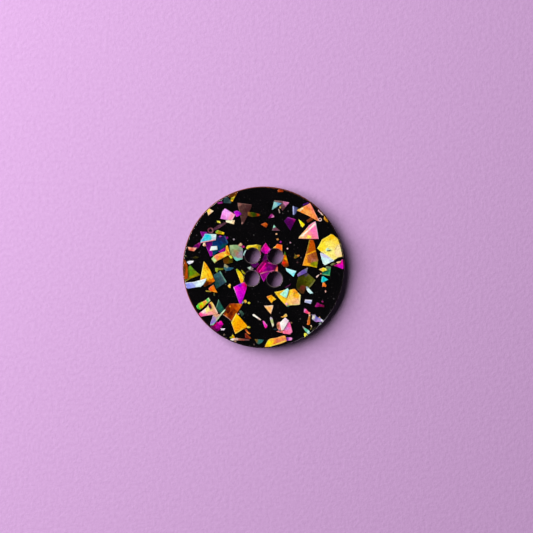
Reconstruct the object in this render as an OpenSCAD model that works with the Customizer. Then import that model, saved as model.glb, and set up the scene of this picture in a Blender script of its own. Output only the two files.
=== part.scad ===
// Flat round four-hole sewing button: a black backing disc with a clear resin
// face on it, and shards of iridescent foil lying in the resin at several
// depths. Millimetres. Back face on Z = 0, face side towards +Z, holes square
// to X and Y.

/* [Button] */
// Outside diameter of the button
face_d = 25.4; // [11:0.1:40]
// Full thickness, back face to polished face
button_t = 3.0; // [2:0.1:5]
// Radius of the tumbled outer edges
edge_r = 0.25; // [0.1:0.05:0.5]

/* [Thread holes] */
// Diameter of each thread hole
hole_d = 2.4; // [1.2:0.1:3]
// Centre to centre distance of the holes, along X and along Y
hole_pitch = 3.6; // [2.5:0.1:5]
// Radius of the polished hole mouths
mouth_r = 0.15; // [0.05:0.05:0.3]

/* [Layers] */
// Thickness of the black backing disc
back_t = 2.0; // [1.5:0.1:2.1]
// Thickness of one foil shard
foil_t = 0.03; // [0.02:0.005:0.04]
// Resin between the backing and the deepest foil
first_gap = 0.1; // [0.05:0.01:0.15]
// Height from one foil level to the next
level_gap = 0.075; // [0.06:0.005:0.08]
// Resin left between a trimmed shard and the rim or a hole
skin = 0.06; // [0.04:0.01:0.2]
// Turn of the foil scatter about the centre, degrees
foil_turn = 1.8; // [-180:0.1:180]

/* [Hidden] */
face_r = face_d / 2;
hole_r = hole_d / 2;
clear_t = button_t - back_t;
// shard corners are written in hundredths of the face radius
u = face_r / 100;
foil_z0 = back_t + first_gap;
eps = 0.01;

// ---- helpers -------------------------------------------------------------

module at_holes() {
  for (sx = [-1, 1]) for (sy = [-1, 1])
    translate([sx * hole_pitch / 2, sy * hole_pitch / 2, 0]) children();
}

// thread holes, right through
module holes(extra = 0) {
  at_holes() translate([0, 0, -1]) cylinder(r = hole_r + extra, h = button_t + 2, $fn = 64);
}

// trumpet that rounds a hole mouth on the face side
module mouth_top() {
  translate([0, 0, button_t - mouth_r]) rotate_extrude($fn = 64) difference() {
    square([hole_r + mouth_r, mouth_r + eps]);
    translate([hole_r + mouth_r, 0]) circle(r = mouth_r, $fn = 32);
  }
}

// the same on the back
module mouth_back() {
  mirror([0, 0, 1]) translate([0, 0, -mouth_r]) rotate_extrude($fn = 64) difference() {
    square([hole_r + mouth_r, mouth_r + eps]);
    translate([hole_r + mouth_r, 0]) circle(r = mouth_r, $fn = 32);
  }
}

// one shard: level counts up from the backing, p are its corners
module foil(level, p) {
  rotate([0, 0, foil_turn])
    translate([0, 0, foil_z0 + level * level_gap])
      linear_extrude(height = foil_t) scale([u, u]) polygon(p);
}

// a shard rolled into a small open curl, seen as a ring
module curl(level, x, y, r, w) {
  rotate([0, 0, foil_turn])
    translate([x * u, y * u, foil_z0 + level * level_gap])
      linear_extrude(height = foil_t) difference() {
        circle(r = r * u, $fn = 24);
        circle(r = (r - w) * u, $fn = 24);
      }
}

// a glitter speck, s across
module speck(level, x, y, s, a = 20) {
  rotate([0, 0, foil_turn])
    translate([x * u, y * u, foil_z0 + level * level_gap])
      rotate([0, 0, a]) linear_extrude(height = foil_t) square([s * u, s * u], center = true);
}

// keeps a shard off the rim and off the thread holes
module trim() {
  intersection() {
    children();
    difference() {
      translate([0, 0, back_t]) cylinder(r = face_r - skin, h = clear_t, $fn = 96);
      holes(skin);
    }
  }
}

// ---- foil shards, by colour ----------------------------------------------

module flakes_magenta() color([0.86, 0.0, 0.62]) {
  // large shard in the middle and the ones around the thread holes
  trim() foil(6, [[-8.7, -3.2], [-6.5, 1], [-1.5, 6.5], [2.5, 9.8], [5.8, 6.5], [17.3, 3.2], [13.2, -4.8], [5.5, -5.5], [-4, -8.5], [-7.3, -6.3]]);
  trim() foil(4, [[-4.5, -8.5], [5, -5.6], [13.3, -4.6], [7.5, -8], [3, -13.5], [0.3, -18], [-1.5, -15]]);
  trim() foil(7, [[-3.5, 21.5], [0, 27], [2.7, 30.5], [5.5, 26], [9, 22], [5.5, 16.3], [1, 16.8], [-3, 20]]);
  foil(7, [[-4.9, 19.8], [-3.9, 19.5], [-2.9, 15.5], [-3.6, 14.6]]);
  foil(7, [[-10.8, -4.3], [-10.3, -3.6], [-6.9, -6.3], [-7.3, -7.1]]);
  // below the thread holes, left
  trim() foil(7, [[-37.3, -24.7], [-33, -22.5], [-26.5, -19.3], [-23.5, -18.3], [-20.5, -22], [-21, -26.5], [-23.5, -34.5], [-26.7, -43.5], [-28.3, -45.3], [-30, -44.5], [-34, -33]]);
  foil(7, [[-1, -66.5], [0.5, -66.3], [4.7, -72], [4.5, -74], [3, -75.5], [1.8, -75], [-0.5, -69]]);
  trim() foil(2, [[-66, -73.5], [-60, -69.7], [-57.5, -67], [-55.5, -68.5], [-54, -66.3], [-52, -66.5], [-49.7, -70.5], [-52, -74], [-55, -78.5], [-59, -80.5], [-62, -78]]);
  // upper left
  foil(7, [[-28, 26.5], [-26, 27.5], [-23, 25.8], [-24, 24.2], [-27.5, 24.2]]);
  foil(5, [[-55.2, 38.5], [-53, 39.3], [-51.3, 38], [-54, 37.2]]);
  foil(5, [[-47, 37.5], [-44, 38], [-43.8, 36], [-46, 34.5]]);
  foil(4, [[-56, 19], [-50, 23.3], [-47.2, 25.2], [-47.2, 20.5], [-52, 17.8]]);
  trim() foil(4, [[-58, 80.2], [-51, 81.5], [-50.7, 79], [-56, 78.5]]);
  // upper middle
  foil(7, [[5.7, 61.2], [8.6, 65], [10.5, 66.4], [13.3, 63.1], [12.9, 61.9], [6.7, 60.5]]);
  foil(6, [[20, 31.2], [21, 32.6], [22.8, 31.8], [22, 30], [20.4, 30]]);
  // right rim
  trim() foil(5, [[86.8, 1.8], [92, 4.6], [97.5, 9.6], [99.5, 8.5], [99.6, -1.5], [98.5, -2.3], [92, 0.3]]);
}

module flakes_violet() color([0.45, 0.0, 0.5]) {
  foil(1, [[-78.5, 44.2], [-70, 43.6], [-63.5, 31.5], [-63.2, 14.3], [-66, 13.3], [-70.5, 24]]);
  foil(4, [[-88, 24.5], [-85, 27.5], [-79, 31], [-77.5, 29], [-79.5, 25], [-82, 22.5], [-84, 23.5]]);
  foil(5, [[-37, 68.6], [-33.6, 70.2], [-30.7, 69.5], [-27.1, 66], [-29.8, 64], [-33.6, 62.1], [-35, 64.8]]);
  foil(3, [[25.3, 57.2], [30, 62.3], [40, 59.3], [33.3, 45.5]]);
  foil(4, [[48.8, 77.9], [55.2, 80.5], [56.7, 79.3], [49, 76]]);
  trim() foil(3, [[-1.5, 9], [1.5, 16], [3.8, 15.8], [5, 9], [2, 7]]);
  trim() foil(2, [[-16.5, 5], [-8, 6.5], [-5.5, 4], [-9.3, -0.3], [-13, 0]]);
  foil(2, [[26.5, -25], [29, -23.5], [34.3, -20], [33, -22.5], [28, -25.5]]);
}

module flakes_maroon() color([0.42, 0.1, 0.24]) {
  foil(4, [[63.5, -48.8], [66, -44], [67.5, -43.8], [70, -45.5], [75.3, -47], [75, -49.5], [70, -48.7], [65, -49.3]]);
  foil(4, [[71.5, -42.3], [73, -41.2], [74.6, -42.8], [73, -44]]);
  foil(8, [[-68.5, -45], [-66.2, -44.5], [-64.5, -50], [-66, -52], [-68.3, -48.5]]);
  foil(3, [[-23, -81.5], [-21, -82], [-15, -88], [-17.5, -88.5], [-22.5, -87.5]]);
  foil(3, [[-45, 56.5], [-50, 55], [-57, 51.5], [-62, 48], [-61, 45], [-56, 47.5], [-50, 51.5], [-46, 54]]);
  foil(3, [[-32, 79.8], [-14.3, 77.6], [-15, 74.3], [-19.3, 64.8], [-24.5, 54.3], [-27, 53], [-28.3, 62], [-31.7, 75.7]]);
  foil(3, [[12.9, 52.6], [15.2, 49.8], [20.5, 45.2], [10.7, 45.5]]);
  foil(4, [[13, 83], [22.4, 82.1], [32, 80.2], [29.5, 77.4], [23.6, 69.8], [21.9, 72.1], [19, 75.5]]);
  curl(5, -65.5, 45.5, 3.6, 1.5);
}

module flakes_pink() color([0.98, 0.5, 0.78]) {
  foil(6, [[-50.7, 69.5], [-48, 72.5], [-46.5, 72.3], [-35, 65], [-38.5, 58.5], [-46, 58.7], [-53.4, 60.3]]);
  foil(7, [[64.5, 56.7], [62.5, 56], [57, 52.5], [44, 37.5], [43.5, 35.5], [68.3, 35]]);
  foil(6, [[30.5, -68], [32.8, -68], [35.8, -80], [32.5, -83], [24, -82], [24.5, -79]]);
  foil(7, [[50, -53.5], [51, -51], [53, -52], [55.5, -55], [58, -56], [57, -58.3], [54, -57.3], [50.2, -55.8]]);
  foil(5, [[25, -86.8], [34.5, -87], [36, -88.5], [34.5, -90.3], [28.5, -91.2]]);
  curl(8, 70, 59, 2.2, 1);
  foil(8, [[27, -44.7], [28.5, -43.8], [30.5, -45.5], [29.5, -46.6], [27.7, -46.2]]);
}

module flakes_coral() color([0.93, 0.5, 0.42]) {
  foil(6, [[-93.8, 25.2], [-88, 24.2], [-82.3, 24.3], [-84, 21.8], [-86, 19.8], [-92, 21]]);
  trim() foil(5, [[13.3, 3.3], [17.5, 3], [17.7, -5.6], [13.2, -5.6]]);
  foil(4, [[17.5, -68.5], [20.2, -67.6], [24.5, -70], [25, -77], [20, -79], [17, -75.5], [16.3, -71]]);
  foil(3, [[15.8, -79.5], [19, -78.5], [24, -78.3], [26.5, -81.7], [19, -80.5]]);
  trim() foil(7, [[67.6, 71.7], [69.5, 70.7], [75, 64], [72.9, 64.3], [67.6, 69.5]]);
  foil(7, [[65, -11.5], [67, -10], [69.2, -8.8], [68.5, -10.3], [66, -13]]);
  foil(6, [[76, -29], [77, -28.5], [77.8, -30], [76.7, -31.7]]);
}

module flakes_peach() color([0.98, 0.8, 0.6]) {
  trim() foil(6, [[-80.8, -57.8], [-77, -55], [-70, -49.5], [-66.5, -43.8], [-64.5, -42.5], [-62.5, -44.5], [-59.5, -50], [-56.2, -56.3], [-57.5, -58], [-62, -58.5], [-72, -60], [-78.3, -61.5]]);
  foil(6, [[0.7, -47.8], [12.2, -47], [11, -52], [9, -58]]);
  foil(4, [[-46.5, 57.8], [-44, 58.8], [-35.4, 58.2], [-36.7, 53.2], [-46.3, 55.8]]);
  foil(5, [[-75.3, 27], [-74.3, 30.3], [-72.5, 30.5], [-70.8, 26.3], [-73.5, 26]]);
  foil(8, [[-31.3, 27.5], [-28.5, 30.3], [-26, 28.3], [-27, 26.5], [-30, 25.5]]);
  trim() foil(7, [[89.8, 6], [92.5, 7.3], [96, 7.5], [94.5, 5.5], [92.3, 4.6]]);
  foil(5, [[68, -62.3], [69.5, -61], [70.6, -62.8], [69.5, -64.5]]);
  trim() foil(5, [[-37, -89.5], [-34.5, -89.7], [-33, -93.8], [-35, -94.3]]);
}

module flakes_orange() color([0.98, 0.52, 0.12]) {
  trim() foil(6, [[10.7, 23.2], [15, 26.5], [17, 29], [23.2, 27.5], [23, 17.5], [17, 19], [13, 22]]);
  foil(7, [[-68, -26.5], [-65, -23.5], [-61.8, -21.8], [-59.5, -27], [-57, -31.2], [-60, -31], [-66, -29.5]]);
  foil(6, [[73.2, -18.5], [75, -18.2], [78, -23], [77, -24.5], [75, -23.8], [72.8, -24.3]]);
  foil(6, [[-64.3, 10.5], [-60, 15], [-53, 18], [-47.5, 19.5], [-42.5, 15.5], [-50, 11.5], [-57, 8], [-60.5, 5]]);
  trim() foil(4, [[12.2, 99.8], [16.3, 99.5], [15.5, 97], [13, 97]]);
  trim() foil(4, [[17.4, 94.8], [19.5, 97.5], [21.9, 98], [25.2, 96.4], [24.3, 93.3], [18.1, 93.1]]);
  trim() foil(6, [[41, 70.5], [57.5, 79.2], [59, 77.5], [69, 57.2], [66, 57.8], [56.5, 63.2]]);
  foil(6, [[26.5, 19.5], [28, 14.5], [30.5, 5.5], [31.5, 2], [28, -0.5], [25, 1], [22.3, 4.3], [23.9, 8.5], [24.5, 13.5]]);
  foil(4, [[-24, -76], [-21, -76.2], [-18.5, -80.5], [-16, -82], [-18, -83], [-20.5, -81]]);
}

module flakes_copper() color([0.6, 0.25, 0.03]) {
  foil(5, [[56.7, 34.3], [61.5, 33.8], [63.3, 29], [65, 20], [67.8, 9], [66, -0.5], [57, 1.5], [48.2, 2.2], [53, 18.5]]);
  foil(3, [[-42, -45.3], [-38, -44.8], [-27.3, -45], [-26, -46], [-33.5, -58], [-39.7, -66.8], [-44.5, -62.7], [-50.5, -58.5], [-47, -51], [-44.5, -47.8]]);
  foil(5, [[56.5, -57], [58.2, -56.3], [57.8, -62], [57.5, -70.5], [56, -71.5], [53.8, -71], [54.5, -66], [56, -61]]);
  foil(5, [[-3.3, 53.1], [2.4, 55.5], [5.7, 53.1], [3.3, 49]]);
  trim() foil(5, [[-99.8, 8], [-97.2, 9.7], [-94, 2.5], [-93.5, -13.5], [-98.5, -15.8], [-99.8, -8]]);
  trim() foil(4, [[-45, 89.8], [-34.5, 94.8], [-30.7, 95.2], [-34.5, 87.6], [-39.3, 85.7], [-43.6, 87]]);
  foil(3, [[57, 65.5], [61.5, 62.5], [61.5, 59], [55, 55], [53, 58], [58, 61]]);
  foil(2, [[-50, 12], [-47, 13.8], [-43, 14], [-37.5, 11.5], [-38, 6], [-43, 4.5], [-48.5, 4], [-50, 8]]);
}

module flakes_gold() color([1.0, 0.72, 0.1]) {
  foil(7, [[-33.7, -56.7], [-20.3, -72], [-20.7, -74.5], [-25, -76.5], [-34.5, -82.5], [-35.5, -81], [-40, -68]]);
  foil(6, [[13.7, -30.7], [20, -29.5], [26, -28], [33, -28], [36, -27], [39, -27], [43.5, -32], [46, -34.5], [45, -46], [43.5, -46.5], [33, -47], [29, -48.5], [24, -43.5], [19, -38]]);
  foil(7, [[3.7, -36.5], [5, -35.8], [9.5, -34.3], [15.8, -39.5], [12, -41.5], [10, -44.5], [8, -42]]);
  foil(6, [[-73.8, 7.3], [-71.5, 5], [-66, -3.5], [-60.2, -17], [-65, -20.5], [-73, -24.3], [-75, -21.5], [-78.3, -15.7], [-77, -8]]);
  foil(7, [[-47.2, 20], [-46.3, 26.5], [-44.3, 27], [-41, 15.3], [-43.5, 14.5], [-48, 17]]);
  foil(7, [[21.7, -61], [24.5, -60.5], [27, -57.8], [28.3, -57.6], [29.5, -60.5], [27.5, -61.8], [23, -62.3]]);
  foil(7, [[-44.3, -22.8], [-41.8, -20.5], [-40.5, -21], [-40.8, -25.8], [-42.8, -25]]);
  trim() foil(5, [[75, 64], [77.1, 63.6], [80.5, 57.9], [79.5, 55.7], [77.6, 56.4], [74.8, 59.8]]);
  foil(6, [[-24.5, -40.8], [-21.5, -40.3], [-20.5, -43.2], [-23, -44.5]]);
  foil(6, [[19.3, 73.5], [20.8, 75.5], [22, 74.5], [20.8, 72.6]]);
}

module flakes_yellow() color([1.0, 0.9, 0.25]) {
  trim() foil(7, [[66.5, 23.5], [69.5, 28.5], [72.5, 34.5], [79, 38], [83.5, 41], [86, 40.3], [90, 37], [93, 34.5], [95, 29], [98.5, 13.5], [92.5, 12.3], [87, 8.5], [78, 15], [71.5, 18.8]]);
  trim() foil(6, [[-70.3, 70.5], [-67.5, 72.7], [-61.8, 69.6], [-68.2, 64]]);
  foil(6, [[-58, 57.5], [-54, 57.2], [-53, 54.3], [-57, 55.5]]);
  trim() foil(6, [[-21.5, 24.3], [-19.5, 27], [-14, 27.4], [-8, 28.3], [-2.7, 26.8], [-4, 20], [-12, 18], [-20, 21.5]]);
  trim() foil(5, [[-34, -2.2], [-32.5, -2], [-28, -6], [-25, -11], [-25, -19.5], [-28, -19.5], [-31, -11.5], [-33.5, -5]]);
  foil(8, [[68.5, -2.8], [74, -0.3], [77.3, -1.3], [79, -3.8], [75, -4.8], [73, -5.5], [71.5, -4.5]]);
  trim() foil(6, [[50, -84], [50.5, -81.5], [52, -81.2], [54.5, -82.8], [52, -85.2], [50.5, -85.5]]);
  foil(5, [[-43, 14], [-41, 15.5], [-38, 12], [-40, 10.3]]);
  foil(7, [[43.3, 59.3], [45, 58.5], [51.3, 52.8], [48.2, 49.2], [46.2, 51.5]]);
  foil(6, [[-20.9, -72.5], [-16, -74], [-17.5, -75.4], [-21.5, -75]]);
  trim() foil(7, [[1.3, -98.8], [3, -95], [5.5, -90.5], [8, -88.5], [16, -87.3], [24.5, -84.5], [27, -85], [29, -91.3], [22, -94.5], [14, -96.5], [8, -98.3], [3.5, -99.8]]);
}

module flakes_olive() color([0.36, 0.34, 0.06]) {
  foil(3, [[43, -12], [50, -8], [55, -7.5], [60, -12], [64.5, -15.8], [60, -22.5], [56, -26], [53, -24.5], [50, -32.5], [47, -33], [44.5, -30], [41, -26.5], [40.5, -22], [42, -16]]);
  foil(6, [[-60, -1], [-49.5, -1], [-49.8, -3.2], [-56.5, -3.7], [-57.3, -6.7], [-59.3, -5]]);
  foil(5, [[-71.8, -29], [-68, -28.8], [-64, -29.8], [-65, -30.8], [-71, -30.3]]);
  foil(4, [[-62, -32], [-60.5, -31.5], [-60, -35], [-61.5, -35.5]]);
  trim() foil(4, [[-27.5, -3.5], [-26.5, -3.3], [-22.7, -7.5], [-24.2, -8.6], [-26.5, -6.5]]);
  foil(6, [[-42, -86.7], [-39.5, -85.3], [-38.7, -83.7], [-37.5, -83.3], [-35, -87.8], [-38, -88.3], [-41, -87.8]]);
  trim() foil(5, [[-49, -87], [-46, -86.5], [-45.5, -87.5], [-47.5, -89]]);
  foil(2, [[-88, 12], [-84, 14], [-80, 12.5], [-82, 11], [-86.5, 11]]);
  trim() foil(3, [[-97, 15], [-95.5, 14.8], [-95, 13], [-96.5, 12.5]]);
  foil(2, [[38.5, 17], [40, 15], [44, 15.5], [45, 14.5], [43, 12.5], [39, 10.7], [37.5, 12], [38.8, 14]]);
  foil(4, [[57.8, -72], [59.3, -71.5], [60.3, -73.5], [59.5, -76], [58.5, -77.5], [57.3, -77], [58.7, -75], [58.8, -73.5]]);
  foil(5, [[-19.5, -43], [-17.5, -42.8], [-16, -44.3], [-17.5, -45.6], [-19.5, -45]]);
  foil(5, [[-19.5, 68.6], [-13, 68.1], [-3.8, 65.5], [-4.3, 63.6], [-13.8, 62.1], [-19.5, 64]]);
  trim() foil(6, [[-35, 88], [-38.5, 81], [-40.8, 82.5], [-40, 86]]);
  foil(3, [[82.8, 3.5], [86, 5.5], [89.5, 4.8], [88, 3], [84, 2]]);
  foil(4, [[59.5, -77.2], [64, -73.6], [65, -73.8], [61.2, -77.4]]);
}

module flakes_green() color([0.42, 0.6, 0.12]) {
  trim() foil(3, [[-94.5, -0.5], [-90.5, 2.5], [-86, -3], [-78.3, -9.5], [-82, -11], [-90, -14], [-96, -17.5], [-99, -18.8], [-98.5, -14]]);
  trim() foil(6, [[-83, -48], [-80.5, -45], [-72, -41], [-68, -37.5], [-65.8, -40.8], [-67, -42.5], [-70, -45], [-76, -50.5], [-78.5, -52.5], [-82, -51]]);
  foil(6, [[-59.5, 44], [-57, 46], [-48.5, 43], [-49, 40.5], [-59, 42]]);
}

module flakes_teal() color([0.1, 0.4, 0.36]) {
  foil(2, [[-55.7, -39.8], [-50.5, -49], [-47.3, -53.2], [-52, -58.5], [-55.5, -56], [-59, -50.5]]);
  foil(4, [[-61.8, -9.5], [-53.5, -4.8], [-45.7, -18.2], [-58.7, -27], [-60, -21]]);
  foil(2, [[-66.5, -21.5], [-60.5, -18.5], [-59.5, -21], [-62.5, -22.5]]);
  foil(4, [[77.5, 1.5], [83.5, 0.5], [82, -10.5], [72.5, -9.3], [73, -5.5], [76, -5]]);
  trim() foil(3, [[-11, -89], [-7, -89.3], [-3.5, -89.5], [0.5, -90], [-1.5, -92.8], [-5.5, -95.5], [-8.5, -94], [-9.5, -91.5]]);
  foil(2, [[-30, -54], [-27.5, -53.5], [-23.8, -57.5], [-25, -59.5], [-27, -61], [-29, -57]]);
  trim() foil(3, [[-49.3, 86.2], [-45, 87.6], [-39.8, 81], [-40.2, 79.3], [-49.3, 79.5]]);
  foil(2, [[11.5, -76.5], [16, -75.5], [18, -77], [15, -78]]);
  foil(5, [[18.8, -77.5], [20.5, -77], [21, -79], [19.5, -79.8]]);
  foil(8, [[29, -47.5], [30.5, -46.9], [32, -48], [30.3, -49.3]]);
  foil(4, [[71.5, -66.5], [73, -66.8], [69.8, -70], [68, -70.3]]);
}

module flakes_cyan() color([0.2, 0.84, 0.9]) {
  foil(6, [[-72.5, 41.5], [-58.3, 40.8], [-59, 33.5], [-78, 30], [-77.8, 32.8], [-74, 38.5]]);
  foil(7, [[71.5, -17.5], [72.3, -12], [74, -11], [80, -15.3], [76, -17.5], [74, -18.8], [72, -18.3]]);
  foil(7, [[13, 81.2], [22.5, 79], [10.5, 70.8]]);
}

module flakes_mint() color([0.62, 0.82, 0.7]) {
  foil(5, [[-41.8, 27], [-38, 27.6], [-32, 27.6], [-26, 23.7], [-25.5, 20], [-25.8, 10], [-33, 7.8], [-35, 9], [-37.5, 12.5], [-41.5, 17]]);
  trim() foil(7, [[48, -72.8], [49, -73.3], [53, -76], [56.3, -78.3], [57.5, -80.5], [56.5, -82.8], [54, -81.5], [51, -78]]);
  foil(8, [[20, -33.5], [26, -28.5], [29.7, -25.8], [31.5, -28], [29.5, -35], [28, -38], [24, -36]]);
  foil(9, [[76.8, 22], [79.3, 24.5], [81, 22.5], [84, 21.5], [80, 19.8], [78, 20]]);
  foil(6, [[7.8, -63.5], [9, -61.3], [11.2, -63.2], [13, -71.5], [11.5, -73.8], [10.5, -71.5]]);
  foil(5, [[-62.7, -59.5], [-58, -57.5], [-54, -58.5], [-50, -54], [-47.2, -51.8], [-47, -53], [-53, -60], [-58, -66.5], [-62, -71.5], [-66, -71.8], [-65.5, -68.5], [-63.5, -63]]);
}

module flakes_ice() color([0.8, 0.96, 1.0]) {
  foil(7, [[27.5, -1], [40.7, -4.8], [39, -7.5], [37.2, -12], [34, -9], [28.5, -4.5]]);
  foil(7, [[52.8, -24], [54.5, -24], [57.5, -27.5], [61.5, -32], [58, -32.8], [55, -30.5], [53, -27]]);
  foil(6, [[70, 17.5], [71, 18.2], [78, 15], [87.5, 8], [84, 6.5], [77, 3], [76, 2.5], [73.5, 5], [71.7, 11]]);
  foil(7, [[-25, 14.6], [-24.6, 17.5], [-23, 20.3], [-20.8, 22.4], [-20.3, 21.9], [-22, 19.9], [-23.3, 17.4], [-23.8, 14.6]]);
  trim() foil(8, [[-97.9, -20], [-96.5, -19.2], [-85.5, -18], [-70.5, -13.7], [-72, -18], [-75, -22], [-77.5, -24], [-85, -25], [-92, -26.3], [-96.8, -26]]);
}

module flakes_white() color([0.95, 0.95, 0.95]) {
  foil(7, [[-66.5, 20.5], [-64.8, 25.8], [-57.5, 26.3], [-57, 21.8], [-62, 21]]);
  trim() foil(8, [[-95, 6.5], [-92, 8], [-86, 8], [-87.5, 5.5], [-92, 3.5]]);
  foil(8, [[26.8, -62], [31.5, -66.3], [24.8, -77.5], [22.3, -78.3], [20.2, -68.5]]);
  foil(7, [[-13.3, -58.5], [-12, -57.8], [-3, -64.5], [-4, -65.6], [-10.5, -61.5], [-13.3, -60]]);
  foil(6, [[-53, -75.5], [-51, -76], [-47.5, -75.5], [-48.5, -77.8], [-52.3, -78]]);
  trim() foil(8, [[-41.3, -89.7], [-40, -88.6], [-34, -87.5], [-24, -88.6], [-17, -88.8], [-17.5, -90.8], [-26, -90.7], [-34, -90.4], [-40, -90.8]]);
  trim() foil(6, [[-20, -0.2], [-15.5, 1], [-12, -1.5], [-13.5, -3.5], [-17, -3], [-19, -1.8]]);
  foil(8, [[-27, -45], [-25.5, -41.8], [-24, -43.2], [-26.5, -45.5]]);
  foil(5, [[18, 72.5], [19.5, 72], [20.8, 67.5], [19.5, 66.8]]);
}

module flakes_lavender() color([0.62, 0.52, 0.85]) {
  trim() foil(6, [[59, -58], [60.5, -58.5], [64, -58.3], [66, -61.5], [70, -63], [74.3, -65.8], [72, -67.5], [64, -67.5], [60, -63.8], [60.5, -60.5]]);
  foil(7, [[51.5, -40], [60.3, -40.5], [58.5, -45.3], [54, -44], [50.8, -43.3]]);
  foil(6, [[41.8, -9], [42.5, -11.8], [46, -10], [50, -8.3], [53.5, -7], [55, -0.5], [53.8, -0.8], [48, -4], [44, -6.5]]);
  foil(5, [[36.2, 76], [42.9, 73.6], [40, 66.4], [37.4, 64.3], [36.2, 65.5]]);
}

module flakes_blue() color([0.05, 0.2, 0.42]) {
  foil(3, [[-57.5, 38.2], [-47.5, 39], [-43.7, 30.5], [-44.5, 28.5], [-55.5, 19.5], [-62.5, 14.5], [-63.6, 20], [-63.5, 31.5], [-58.5, 34]]);
  foil(5, [[-48.8, 4], [-47, 3.8], [-42.5, 0], [-36.5, -0.8], [-41, -4], [-46.5, -4.5], [-49, -2]]);
}

// glitter dust, near the face
module fine_specks() color([0.62, 0.5, 0.5]) {
  speck(9, 16, 41.2, 2, 10);
  speck(9, 17.6, 34.6, 2.2, 40);
  speck(9, 33.3, 30.5, 1.7, 15);
  speck(9, 29.7, 23.1, 1.8, 35);
  speck(9, -36.6, 34.5, 2, 20);
  speck(9, -82.7, 39.5, 1.6, 5);
  speck(9, -79.3, 18.3, 1.5, 30);
  speck(9, 46.5, 12, 1.6, 25);
  speck(9, 42, 6, 1.8, 60);
  speck(9, -46.8, -21.2, 1.4, 12);
  speck(9, -47, -5.8, 1.3, 50);
  speck(9, -48.6, -83.4, 2, 25);
  speck(8, -11.5, -95.6, 1.6, 10);
  speck(9, 45.5, -64, 1.6, 35);
  speck(9, 87, -39, 1.5, 20);
  speck(9, -30.8, -57.8, 1.7, 40);
  speck(9, 34.6, -68.6, 1.9, 15);
  speck(9, 24, 66.5, 1.4, 45);
  speck(9, 30.5, 69.3, 1.5, 10);
  speck(9, -6.5, -42.8, 1.3, 22);
  speck(9, -19.5, 33, 1.2, 38);
  speck(9, 38, 27.5, 1.2, 5);
  speck(9, -12, 40, 1.1, 33);
  speck(9, 20, -56.5, 1.1, 8);
  speck(9, 71, -8, 1.5, 28);
}

module all_foil() {
  flakes_magenta(); flakes_violet(); flakes_maroon(); flakes_pink();
  flakes_coral(); flakes_peach(); flakes_orange(); flakes_copper();
  flakes_gold(); flakes_yellow(); flakes_olive(); flakes_green();
  flakes_teal(); flakes_cyan(); flakes_mint(); flakes_ice();
  flakes_white(); flakes_lavender(); flakes_blue(); fine_specks();
}

// ---- body ----------------------------------------------------------------

// black backing, rounded at the back edge
module backing_disc() color([0.02, 0.02, 0.022]) difference() {
  rotate_extrude($fn = 128) union() {
    square([face_r - edge_r, back_t]);
    translate([0, edge_r]) square([face_r, back_t - edge_r]);
    translate([face_r - edge_r, edge_r]) circle(r = edge_r, $fn = 32);
  }
  holes();
  at_holes() mouth_back();
}

// clear resin face, rounded at the front edge, cast around the foil
module clear_face() color([0.9, 0.92, 0.95, 0.35]) difference() {
  rotate_extrude($fn = 128) union() {
    translate([0, back_t]) square([face_r - edge_r, clear_t]);
    translate([0, back_t]) square([face_r, clear_t - edge_r]);
    translate([face_r - edge_r, button_t - edge_r]) circle(r = edge_r, $fn = 32);
  }
  holes();
  at_holes() mouth_top();
  all_foil();
}

backing_disc();
clear_face();
flakes_magenta();
flakes_violet();
flakes_maroon();
flakes_pink();
flakes_coral();
flakes_peach();
flakes_orange();
flakes_copper();
flakes_gold();
flakes_yellow();
flakes_olive();
flakes_green();
flakes_teal();
flakes_cyan();
flakes_mint();
flakes_ice();
flakes_white();
flakes_lavender();
flakes_blue();
fine_specks();
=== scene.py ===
import math

import bmesh
import bpy
import numpy as np
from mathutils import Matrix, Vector, noise
from mathutils.geometry import delaunay_2d_cdt


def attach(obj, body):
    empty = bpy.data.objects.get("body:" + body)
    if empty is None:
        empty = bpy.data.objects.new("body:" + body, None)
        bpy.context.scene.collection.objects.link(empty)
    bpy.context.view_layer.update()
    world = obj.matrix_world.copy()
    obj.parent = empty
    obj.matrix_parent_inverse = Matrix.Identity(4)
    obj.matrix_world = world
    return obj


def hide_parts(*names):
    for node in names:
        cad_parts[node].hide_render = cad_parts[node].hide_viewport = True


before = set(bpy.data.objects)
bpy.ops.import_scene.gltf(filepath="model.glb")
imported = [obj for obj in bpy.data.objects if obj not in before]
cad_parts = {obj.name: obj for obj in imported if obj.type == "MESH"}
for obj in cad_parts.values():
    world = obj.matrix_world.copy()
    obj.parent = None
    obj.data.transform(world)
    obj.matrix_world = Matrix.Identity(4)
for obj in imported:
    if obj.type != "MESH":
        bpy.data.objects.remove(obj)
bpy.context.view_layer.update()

MM = 0.001
U = 0.127 * MM            # one hundredth of the face radius
TURN = math.radians(1.8)  # the foil scatter is turned this far about Z
FACE_Z = 3.0 * MM
DEPTH = 0.94              # share of its tint that a shard keeps, so that the key light doesn't burn it out; less on the lamp's side
METAL = 0.2

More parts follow.
